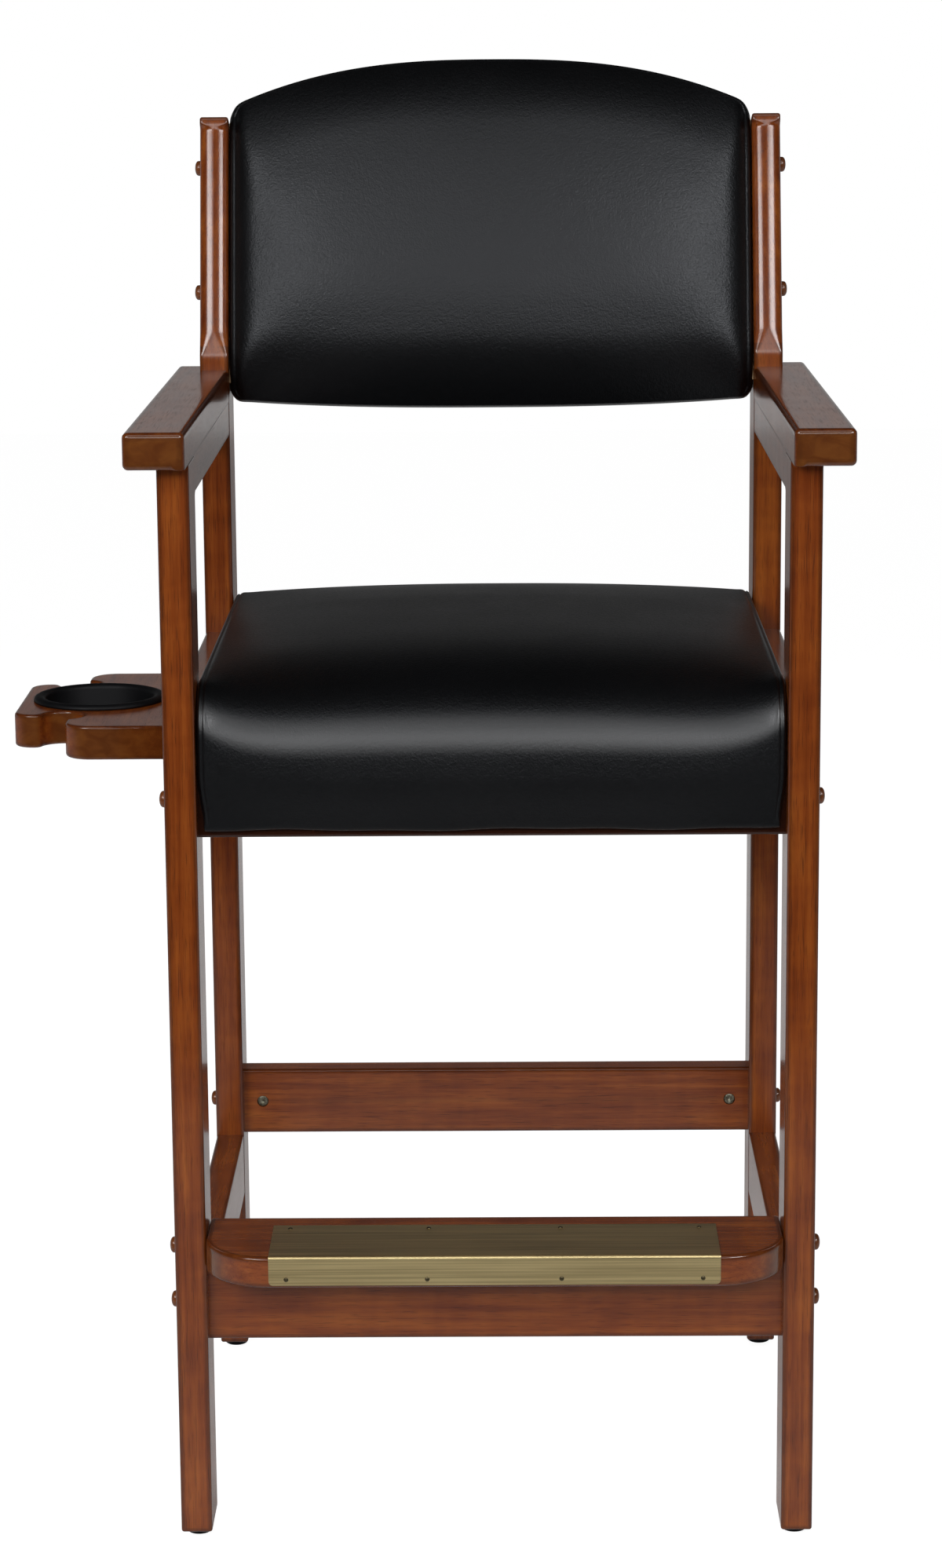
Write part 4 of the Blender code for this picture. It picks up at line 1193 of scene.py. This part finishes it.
# %% Nails of the brass plate
NAIL_RADIUS = 0.0019
NAIL_RISE = 0.0009
NAIL_SUNK = 0.0006
NAIL_EDGE = 0.0001
NAILS_ACROSS = (-0.166, -0.0535, 0.0535, 0.166)
NAIL_HEIGHT = 0.2462
NAIL_BACK = 0.0170
nail_profile = [(0, -NAIL_SUNK), (NAIL_RADIUS, -NAIL_SUNK), (NAIL_RADIUS, NAIL_EDGE)]
for step in range(1, 6):
    turn_by = math.pi / 2 * step / 5
    nail_profile.append((NAIL_RADIUS * math.cos(turn_by), NAIL_EDGE + NAIL_RISE * math.sin(turn_by)))
nail_places = []
for x in NAILS_ACROSS:
    nail_places.append(((x, plate_low.y, NAIL_HEIGHT), (0, -1, 0)))
    nail_places.append(((x, NAIL_BACK, plate_high.z), (0, 0, 1)))
set_in_place("plate_nails", nail_profile, nail_places, nail_brass, [], 20)

# %% Glides
glide_low, glide_high = chair_box("glide_front_left")
GLIDE_RADIUS = (glide_high.x - glide_low.x) / 2
GLIDE_HEIGHT = 0.0095
GLIDE_ROUND = 0.0022
GLIDE_LIP = 0.0006
glide_top = GLIDE_HEIGHT + GLIDE_LIP
glide_profile = [(0, glide_top), (GLIDE_RADIUS, glide_top)]
glide_profile += arc((GLIDE_RADIUS - GLIDE_LIP, GLIDE_HEIGHT - GLIDE_LIP), GLIDE_LIP, 0, -30, 2)
glide_profile += arc((GLIDE_RADIUS - GLIDE_ROUND, GLIDE_ROUND), GLIDE_ROUND, 0, -90, 6)
glide_profile.append((0, 0))
glide_nodes = [f"glide_{place}_{word}" for place in ("front", "back") for word in SIDES]
glide_places = []
for node in glide_nodes:
    middle = chair_middle(node)
    glide_places.append(((middle.x, middle.y, chair_box(node)[0].z), (0, 0, 1)))
set_in_place("glides", glide_profile, glide_places, glide_plastic, glide_nodes)

# %% [markdown]
# ## The cup
#
# The cup is a shallow moulded dish with a soft rolled lip that rests on the tray. It is turned by the same
# tree as the fittings, and rides on its own body, because it lifts straight out.

# %% Turn the cup
CUP_RADIUS = 0.046
CUP_WALL = 0.0022
CUP_TAPER = 0.003
FOOT_ROUND = 0.003
FLOOR_ROUND = 0.004
LIP_START = 0.0003
LIP_POWER = 0.8
RIM_RADIUS = (cup_high.x - cup_low.x) / 2
RIM_TOP = cup_high.z - tray_high.z
CUP_FLOOR = cup_low.z - tray_high.z
rim_middle = (RIM_RADIUS + CUP_RADIUS) / 2
rim_half = (RIM_RADIUS - CUP_RADIUS) / 2
foot = CUP_RADIUS + CUP_WALL - CUP_TAPER
cup_profile = [(0, CUP_FLOOR)]
cup_profile += arc((foot - FOOT_ROUND, CUP_FLOOR + FOOT_ROUND), FOOT_ROUND, 270, 355, 5)
cup_profile.append((CUP_RADIUS + CUP_WALL, LIP_START))
for step in range(13):
    turn_by = math.pi * step / 12
    rise = LIP_START + (RIM_TOP - LIP_START) * math.sin(turn_by) ** LIP_POWER
    cup_profile.append((rim_middle + rim_half * math.cos(turn_by), rise))
inside = foot - CUP_WALL - FLOOR_ROUND
cup_profile += arc((inside, CUP_FLOOR + CUP_WALL + FLOOR_ROUND), FLOOR_ROUND, 0, -90, 6)
cup_profile.append((0, CUP_FLOOR + CUP_WALL))
mesh = turn("cup_shell", cup_profile, 96)
cup_place = Vector((CUP_MIDDLE.x, CUP_MIDDLE.y, tray_high.z))
mesh.transform(Matrix.Translation(CHAIR_PLACE + cup_place))
add_piece("cup_shell", mesh, cup_plastic, ["cup_insert"], "cup")
print("cup", round(2000 * RIM_RADIUS), "mm over the rim")

# %% [markdown]
# ## Stuffing a cushion
#
# Leather over foam is tight between its seams and swells a little away from them. Shaping that by hand looks
# stiff, so a cushion starts slightly too flat, its seams are pinned, and Blender's Cloth blows it up like a
# ball for twenty frames. A cap keeps the swelling within what the real cushion shows, and one subdivision
# smooths the result.

# %% Blow up a cushion
FRAMES = 20
PRESSURE = 4.0
MOST_SWELL = 0.012
EVEN_ROUNDS = 14
TINY = 1e-9


def evened(mesh, moves, still):
    """The moves of all vertices, each averaged with its neighbours, as foam under leather does."""
    beside = [[] for move in moves]
    for line in mesh.edges:
        first, second = line.vertices
        beside[first].append(second)
        beside[second].append(first)
    for step in range(EVEN_ROUNDS):
        averaged = []
        for i, move in enumerate(moves):
            total = sum((moves[j] for j in beside[i]), move)
            averaged.append(Vector() if i in still else total / (1 + len(beside[i])))
        moves = averaged
    return moves


def stuff(piece, sewn):
    """Swells a cushion by cloth simulation. The sewn vertices stay where they are."""
    start = [vert.co.copy() for vert in piece.data.vertices]
    seams = piece.vertex_groups.new(name="sewn")
    seams.add(sewn, 1.0, "REPLACE")
    cloth = piece.modifiers.new("stuffing", "CLOTH")
    cloth.settings.use_pressure = True
    cloth.settings.uniform_pressure_force = PRESSURE
    cloth.settings.vertex_group_mass = "sewn"
    cloth.settings.effector_weights.gravity = 0
    cloth.settings.tension_stiffness = 30
    cloth.settings.compression_stiffness = 30
    cloth.settings.shear_stiffness = 15
    cloth.settings.bending_stiffness = 2
    cloth.point_cache.frame_start = 1
    cloth.point_cache.frame_end = FRAMES
    for number in range(1, FRAMES + 1):
        scene.frame_set(number)
    done = piece.evaluated_get(bpy.context.evaluated_depsgraph_get())
    swollen = [vert.co.copy() for vert in done.data.vertices]
    piece.modifiers.remove(cloth)
    piece.vertex_groups.remove(seams)
    scene.frame_set(1)
    moves = []
    for old, new in zip(start, swollen):
        move = new - old
        moves.append(move * min(1.0, MOST_SWELL / max(move.length, TINY)))
    moves = evened(piece.data, moves, set(sewn))
    for vert, old, move in zip(piece.data.vertices, start, moves):
        vert.co = old + move
    return max(move.length for move in moves)


def smooth_once(piece):
    """One level of subdivision, applied."""
    finer = piece.modifiers.new("finer", "SUBSURF")
    finer.levels = 1
    finer.render_levels = 1
    done = piece.evaluated_get(bpy.context.evaluated_depsgraph_get())
    mesh = bpy.data.meshes.new_from_object(done)
    piece.modifiers.remove(finer)
    old = piece.data
    piece.data = mesh
    mesh.name = old.name
    bpy.data.meshes.remove(old)


def add_cushion(name, shape, node, is_held):
    """A stuffed piece of leather in place of its solid. is_held says which vertices stay where they are."""
    mesh = mesh_from(shape, name)
    piece = add_piece(name, mesh, black_leather, [node])
    held = [vert.index for vert in mesh.vertices if is_held(vert)]
    moved = stuff(piece, held)
    smooth_once(piece)
    print(f"{name} swelled {1000 * moved:.1f} mm, {len(piece.data.polygons)} faces, {len(held)} held")
    return piece


print("cushions can be stuffed")

# %% [markdown]
# ## The seat
#
# One panel of leather runs from the hem at the front, over the rolled front edge, back across the top and
# down over the back edge of the plywood. Two side panels are sewn to it along the top edge and down the
# front corners. The panel is laid as cross-sections from side to side. Near the seams the sections crowd
# together to make room for a groove with a raised lip beside it.

# %% Sections of the seat
seat_low, seat_high = chair_box("seat_cushion")
panel_low, panel_high = chair_box("seat_base_panel")
rail_low = chair_box("seat_front_rail")[0]
SEAT_HALF = INNER - 0.0012
SEAT_UNDER = panel_high.z + BUTT
FLAP_LOW = panel_low.z + BUTT
SKIRT_FACE = rail_low.y - BUTT
SEAT_EDGE = SEAT_UNDER + 0.055
SEAT_HEM = seat_low.z - 0.002
SEAT_FRONT = 0.002
SEAT_BULGE = 0.006
SEAT_BACK = seat_high.y
SEAT_CROWN = 0.018
CROWN_POWER = 2.4
CROWN_DROP = 0.45
DROP_ZONE = (0.66, 1.02)
SOFT_POWER = 7
BULGE_POWER = 5
SEAT_SLACK = 0.70
ROLL_HEIGHT = 0.083
ROLL_DEPTH = 0.384
ROLL_POWER = 5.5
ROLL_ROOT = 3.0
ROLL_ZONE = 0.110
SEAM_ROLL = 0.040
SEAT_BACK_ROLL = 0.018
HEM_ROLL = 0.0032
HEM_WAVE = 0.0007
HEM_PULL = 0.0050
SKIRT_STEPS = 9
ROLL_STEPS = 16
TOP_STEPS = 40
FLAP_STEPS = 6
BASE_START = SEAT_FRONT + 0.016
LEAST_STEP = 0.0008


def seat_height(deep, across, full):
    """Height of the leather at a distance behind its front and a share across."""
    crown = SEAT_CROWN * full * (1 - abs(across) ** CROWN_POWER)
    soft = 1 - abs(across) ** SOFT_POWER
    ahead = 1 - min(deep / ROLL_DEPTH, 1)
    broad = ROLL_HEIGHT * ((1 - ahead**ROLL_POWER) ** (1 / ROLL_ROOT) - 1)
    ahead = 1 - min(deep / SEAM_ROLL, 1)
    tight = SEAM_ROLL * (math.sqrt(1 - ahead**2) - 1)
    return SEAT_EDGE + crown + broad * soft + tight * (1 - soft)


def seat_run(across, full):
    """(y, z) places along the leather at a share across, from the hem over the top to the back."""
    front = SEAT_FRONT - SEAT_BULGE * full * (1 - abs(across) ** BULGE_POWER)
    run = [(SKIRT_FACE, SEAT_HEM), ((SKIRT_FACE + SEAT_FRONT) / 2 + HEM_ROLL / 2, SEAT_HEM)]
    run += arc((SEAT_FRONT + HEM_ROLL, SEAT_HEM + HEM_ROLL), HEM_ROLL, 270, 180, 4)
    foot = SEAT_HEM + HEM_ROLL
    start = seat_height(0, across, full)
    for step in range(1, SKIRT_STEPS):
        share = step / SKIRT_STEPS
        y = SEAT_FRONT + (front - SEAT_FRONT) * ease_between(share, 0, 1)
        run.append((y, foot + (start - foot) * share))
    for step in range(ROLL_STEPS + 1):
        deep = ROLL_ZONE * (step / ROLL_STEPS) ** 2
        run.append((front + deep, seat_height(deep, across, full)))
    far = SEAT_BACK - SEAT_BACK_ROLL
    drop = CROWN_DROP * SEAT_CROWN * full * (1 - abs(across) ** CROWN_POWER)
    for step in range(1, TOP_STEPS + 1):
        share = step / TOP_STEPS
        deep = ROLL_ZONE + (far - front - ROLL_ZONE) * share
        z = seat_height(deep, across, full) - drop * ease_between(share, *DROP_ZONE)
        run.append((front + deep, z))
    low = run[-1][1] - SEAT_BACK_ROLL
    run += arc((far, low), SEAT_BACK_ROLL, 90, 0, 6)[1:]
    for step in range(1, FLAP_STEPS + 1):
        run.append((SEAT_BACK, low + (FLAP_LOW - low) * step / FLAP_STEPS))
    return run


def seat_base(run):
    """The places under a run of leather, up the rail, along the panel and down behind it, none twice."""
    up, back = SEAT_UNDER - SEAT_HEM, panel_high.y + BUTT - SKIRT_FACE
    ways = []
    for y, z in run:
        behind = min(max((y - BASE_START) / (SEAT_BACK - BASE_START), 0), 1)
        level = min(max(z - SEAT_HEM, 0), up) if behind < 1 else up + max(SEAT_UNDER - z, 0)
        ways.append(level + back * behind)
    ways[0] = LEAST_STEP
    for i in range(1, len(ways)):
        ways[i] = max(ways[i], ways[i - 1] + LEAST_STEP)
    ways[-1] = up + back + SEAT_UNDER - FLAP_LOW
    for i in range(len(ways) - 2, 0, -1):
        ways[i] = min(ways[i], ways[i + 1] - LEAST_STEP)
    places = []
    for way in ways:
        along, down = min(max(way - up, 0), back), max(way - up - back, 0)
        places.append((SKIRT_FACE + along, SEAT_HEM + min(way, up) - down))
    return places


print("seat run of", len(seat_run(0, 1.0)), "points")

# %% Sew the seat
# Across the seam, from the outside in: the place and how far the leather is raised there.
SEAM_LIP = [(0.0, -0.0042), (0.0006, -0.0024), (0.0018, -0.0009), (0.0032, -0.0004), (0.0041, -0.0016)]
SEAM_LIP += [(0.0051, -0.0003), (0.0068, 0.0005), (0.0095, 0.0003)]
SEAM_LIP += [(0.0135, 0.0), (0.018, 0.0), (0.024, 0.0)]
SEAM_ZONE = 0.030
SEAT_STATIONS = 48
SIDE_STEPS = (0.02, 0.05, 0.12, 0.25, 0.38, 0.5)
SIDE_SWELL = 0.0006
SIDE_SOFT = (0.03, 0.4)
POLISH_DEPTH = 0.09
POLISH_RISE = (0.08, 0.20)
POLISH_FADE = (0.45, 0.75)
# Leather closer than WRAPPED to its back edge rises freely from the panel up, the rest from the hem up.
WRAPPED = 0.006
BACK_FREE = 0.014
HEM_FREE = (0.001, 0.016)
# The waves of the hem: radians per metre, the start and the strength.
HEM_WAVES = [(31, 0.4, 1.0), (73, 1.1, 0.6)]
HEM_ZONE = 0.045
HEM_POWER = 9
# How far from a seam, the hem and the panel at the back the leather is held.
SEAM_HELD = 0.0078
HEM_HELD = 0.006
BACK_HELD = 0.012
# Leather closer than this to the panel or the back edge counts as touching it.
TOUCH = 0.001


def free_share(y, z):
    """How freely the leather rises at a place: not at the hem or where it is wrapped round the panel."""
    if y > SEAT_BACK - WRAPPED:
        return ease_between(z, SEAT_UNDER, SEAT_UNDER + BACK_FREE)
    return ease_between(z, SEAT_HEM + HEM_FREE[0], SEAT_HEM + HEM_FREE[1])


def raised(run, lift):
    """A run moved outwards along its own normals."""
    if not lift:
        return run
    moved = []
    for i, (y, z) in enumerate(run):
        before = Vector(run[max(i - 1, 0)])
        after = Vector(run[min(i + 1, len(run) - 1)])
        way = after - before
        outward = Vector((-way.y, way.x)).normalized() * lift * free_share(y, z)
        moved.append((y + outward.x, z + outward.y))
    return moved


def hung(x, y, z):
    """A place of the seat, with the hem a little wavy and drawn in at its two corners."""
    near = 1 - ease_between(z, SEAT_HEM, SEAT_HEM + HEM_ZONE)
    wave = sum(strength * math.sin(rate * x + start) for rate, start, strength in HEM_WAVES)
    pulled = x * (1 - HEM_PULL / SEAT_HALF * near * abs(x / SEAT_HALF) ** HEM_POWER)
    return pulled, y, z + HEM_WAVE * near * wave


def sewn_seat(full):
    """Closed loops round the seat from side to side."""
    inside = SEAT_HALF - SEAM_ZONE
    stations = [(SEAT_HALF - out, lift) for out, lift in SEAM_LIP]
    stations += [(inside * (1 - 2 * step / SEAT_STATIONS), 0.0) for step in range(SEAT_STATIONS + 1)]
    stations += [(-x, lift) for x, lift in stations[len(SEAM_LIP) - 1 :: -1]]
    loops = []
    for x, lift in stations:
        run = seat_run(x / SEAT_HALF, full)
        base = seat_base(run)
        loops.append([hung(x, y, z) for y, z in raised(run, lift) + base[::-1]])
    for ends in (0, 1):
        x = -SEAT_HALF if ends else SEAT_HALF
        run = seat_run(1.0, full)
        base = seat_base(run)
        run = raised(run, SEAM_LIP[0][1])
        for share in SIDE_STEPS:
            outer = [Vector(a).lerp(Vector(b), share) for a, b in zip(run, base)]
            inner = [Vector(b).lerp(Vector(a), share) for a, b in zip(run, base)]
            proud = math.copysign(SIDE_SWELL if SIDE_SOFT[0] < share < SIDE_SOFT[1] else 0.0, x)
            ring = [hung(x + proud, *place) for place in outer + inner[::-1]]
            loops = loops + [ring] if ends else [ring] + loops
    return loops


def polish_front(piece):
    """Marks the rolled front edge of the seat, which shines more, by the way its leather faces."""
    polish_layer = piece.data.attributes.new("polish", "FLOAT", "POINT")
    for vert in piece.data.vertices:
        at_front = vert.co.y - CHAIR_PLACE.y < POLISH_DEPTH
        facing_up = ease_between(vert.normal.z, *POLISH_RISE)
        facing_up *= 1 - ease_between(vert.normal.z, *POLISH_FADE)
        polish_layer.data[vert.index].value = facing_up if at_front else 0.0


def loft(loops):
    shape = bmesh.new()
    rings = [[shape.verts.new(CHAIR_PLACE + Vector(place)) for place in loop] for loop in loops]
    for near, far in zip(rings, rings[1:]):
        bridge(shape, near, far)
    bmesh.ops.remove_doubles(shape, verts=shape.verts, dist=2 * WELD)
    finish_faces(shape)
    return shape


def held_in_seat(vert):
    """Whether a vertex of the seat lies at a seam, at the hem, on the panel or behind it."""
    place = vert.co - CHAIR_PLACE
    at_seam = abs(place.x) > SEAT_HALF - SEAM_HELD
    at_hem = place.z < SEAT_HEM + HEM_HELD
    under = place.z < SEAT_UNDER + TOUCH and place.y > SKIRT_FACE - TOUCH / 2
    at_back = place.y > SEAT_BACK - TOUCH and place.z < SEAT_UNDER + BACK_HELD
    return at_seam or at_hem or under or at_back


shape = loft(sewn_seat(SEAT_SLACK))
seat = add_cushion("seat_leather", shape, "seat_cushion", held_in_seat)
polish_front(seat)
print("seat polished along its front")

# %% [markdown]
# ## The back
#
# The back is boxed: a front panel, a strip round the edge and a rear panel, sewn together along two seams.
# The front seam lies a few millimetres inside the outline, so a little of the strip shows round the front
# panel. The front panel is a grid that bulges under the same simulation; the strip follows as rings, which
# end at the flat grid of the rear.

# %% Outline of the back
BACK_HALF = INNER - 0.0002
BACK_TUCK = 0.006
BACK_BOTTOM = -0.048
BACK_BELLY = 0.007
BACK_TOP = 0.266
BACK_ARCH = 0.040
BACK_POWER = 2.6
BACK_REAR = LEG_DEPTH / 2 + STOCK / 2 + 0.008
REAR_PANEL = BACK_REAR - 0.0016
BACK_CORNER = 0.008
SIDE_SEAM_IN = 0.0065
TOP_SEAM_IN = 0.0038
FOOT_SEAM_IN = 0.0012
PANEL_OUT = 0.009
SWELL_ACROSS = 2.1
SWELL_UP = 3.0
# How far the front panel falls back towards each seam, over which distance, and how suddenly.
SIDE_FALL = (0.010, 0.023, 3)
TOP_FALL = (0.016, 0.062, 2)
FOOT_FALL = (0.023, 0.058, 2)
GRID_ACROSS = 64
GRID_UP = 44
# The lines of the grid are spaced by a sine over this share of a half turn. They crowd near the seams.
ACROSS_TURN = 0.86
UP_TURN = 0.84


def back_edge(across):
    """Lowest and highest place of the front seam up the rake at a share across, with rounded corners."""
    low = BACK_BOTTOM + BACK_BELLY * abs(across) ** BACK_POWER + FOOT_SEAM_IN
    high = BACK_TOP - BACK_ARCH * abs(across) ** BACK_POWER - TOP_SEAM_IN
    past = max(abs(across) * BACK_HALF - (BACK_HALF - BACK_CORNER), 0)
    drop = BACK_CORNER - math.sqrt(max(BACK_CORNER**2 - past**2, 0))
    return low + drop, high - drop


def fall(gap, amount, reach, power):
    """How far a panel falls back at a gap from its seam."""
    return amount * (1 - min(max(gap, 0) / reach, 1)) ** power


def front_depth(across, up, low, high, crown):
    """How far back the front panel is at a share across and a place up."""
    share = 2 * (up - low) / (high - low) - 1
    swell = crown * (1 - abs(across) ** SWELL_ACROSS) * (1 - abs(share) ** SWELL_UP)
    side = fall((1 - abs(across)) * (BACK_HALF - SIDE_SEAM_IN), *SIDE_FALL)
    ends = fall(high - up, *TOP_FALL) + fall(up - low, *FOOT_FALL)
    return math.hypot(side, ends) - PANEL_OUT - swell


def share_across(step):
    """The share across a panel, from -1 to 1, at a column of its grid."""
    widest = math.pi / 2 * ACROSS_TURN
    return math.sin(widest * (2 * step / GRID_ACROSS - 1)) / math.sin(widest)


def share_up(step):
    """The share of the way up a panel at a row of its grid."""
    start = (1 - UP_TURN) / 2
    return 0.5 - 0.5 * math.cos(math.pi * (start + UP_TURN * step / GRID_UP)) / math.cos(math.pi * start)


def grid_places(tuck, crown=None):
    """(x, back, up) rows of a panel inside its seam, its foot raised by tuck. The rear has no crown."""
    rows = []
    for step_up in range(GRID_UP + 1):
        row = []
        for step in range(GRID_ACROSS + 1):
            across = share_across(step)
            low, high = back_edge(across)
            low += tuck
            up = low + (high - low) * share_up(step_up)
            back = REAR_PANEL if crown is None else front_depth(across, up, low, high, crown)
            row.append((across * (BACK_HALF - SIDE_SEAM_IN), back, up))
        rows.append(row)
    return rows


def border():
    """Rows and columns of the places round a grid, once round."""
    ring = [(0, i) for i in range(GRID_ACROSS)]
    ring += [(j, GRID_ACROSS) for j in range(GRID_UP)]
    ring += [(GRID_UP, i) for i in range(GRID_ACROSS, 0, -1)]
    ring += [(j, 0) for j in range(GRID_UP, 0, -1)]
    return ring


print("back panel grid", GRID_ACROSS, "by", GRID_UP)

# %% Sew the back
BACK_CROWN = 0.020
BACK_SLACK = 0.80
# The foot of the strip rises towards the rear from this share of the way on.
TUCK_START = 0.1
TUCK_POWER = 1.5
# Each ring of the strip: its share of the way out from the seam to the outline, and of the way to the rear.
BOX_RINGS = [
    (0.18, 0.008),
    (0.46, 0.016),
    (0.77, 0.080),
    (0.95, 0.180),
    (1.00, 0.320),
    (1.00, 0.520),
    (1.00, 0.720),
    (0.92, 0.900),
    (0.54, 0.970),
    (0.25, 0.970),
]


def seam_in(way):
    """How far the front seam lies inside the outline where the outline faces this way."""
    return way.x**2 * SIDE_SEAM_IN + way.y**2 * (TOP_SEAM_IN if way.y > 0 else FOOT_SEAM_IN)


def rake_point(x, back, up):
    y, z = on_rake(up, back)
    return CHAIR_PLACE + Vector((x, y, z))


shape = bmesh.new()
crown = BACK_CROWN * BACK_SLACK
front_places = grid_places(0.0, crown)
rear_places = grid_places(BACK_TUCK)
front_grid, rear_grid = [
    [[shape.verts.new(rake_point(*place)) for place in row] for row in rows]
    for rows in (front_places, rear_places)
]
for grid in (front_grid, rear_grid):
    for near, far in zip(grid, grid[1:]):
        for i in range(GRID_ACROSS):
            shape.faces.new((near[i], near[i + 1], far[i + 1], far[i]))
ring_spots = border()
seam_line = [Vector((front_places[j][i][0], front_places[j][i][2])) for j, i in ring_spots]
seam_back = [front_places[j][i][1] for j, i in ring_spots]
outward = [-way.normalized() for way in drawn_in(seam_line)]
rings = [[front_grid[j][i] for j, i in ring_spots]]
for out, rearward in BOX_RINGS:
    ring = []
    for (x, up), way, start, spot in zip(seam_line, outward, seam_back, ring_spots):
        step = way * out * seam_in(way)
        back = start + (BACK_REAR - start) * rearward
        tucked = max((rearward - TUCK_START) / (1 - TUCK_START), 0) ** TUCK_POWER
        lift = BACK_TUCK * (1 - share_up(spot[0])) * tucked
        ring.append(shape.verts.new(rake_point(x + step.x, back, up + step.y + lift)))
    rings.append(ring)
rings.append([rear_grid[j][i] for j, i in ring_spots])
for near, far in zip(rings, rings[1:]):
    bridge(shape, near, far)
finish_faces(shape)
shape.verts.index_update()
free = {front_grid[j][i].index for j in range(1, GRID_UP) for i in range(1, GRID_ACROSS)}
back = add_cushion("back_leather", shape, "back_cushion", lambda vert: vert.index not in free)
print(len(free), "places of the back were free to swell")

# %% [markdown]
# ## Solids that stay as they are
#
# The plywood panels, the nuts inside the back and the two screws of the tray are right as they were packed.
# They only change their finish.

# %% Paint the remaining solids
STAYING = {
    "seat_base_panel": bare_plywood,
    "back_panel": bare_plywood,
    "tray_screw_front": dull_steel,
    "tray_screw_back": dull_steel,
}
for joint in ("back_low", "back_high"):
    for word in SIDES:
        STAYING[f"barrel_nut_{joint}_{word}"] = dull_steel
for node, finish in STAYING.items():
    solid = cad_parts[node]
    solid.data.materials.clear()
    solid.data.materials.append(finish)
print("solids repainted:", len(STAYING))

# %% Print the sizes of both boxes
visual_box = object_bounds()
boxes = {"cad": [list(point) for point in cad_box], "visual": [list(point) for point in visual_box]}
for word in ("cad", "visual"):
    low, high = boxes[word]
    print(word, [round(1000 * (b - a), 1) for a, b in zip(low, high)])
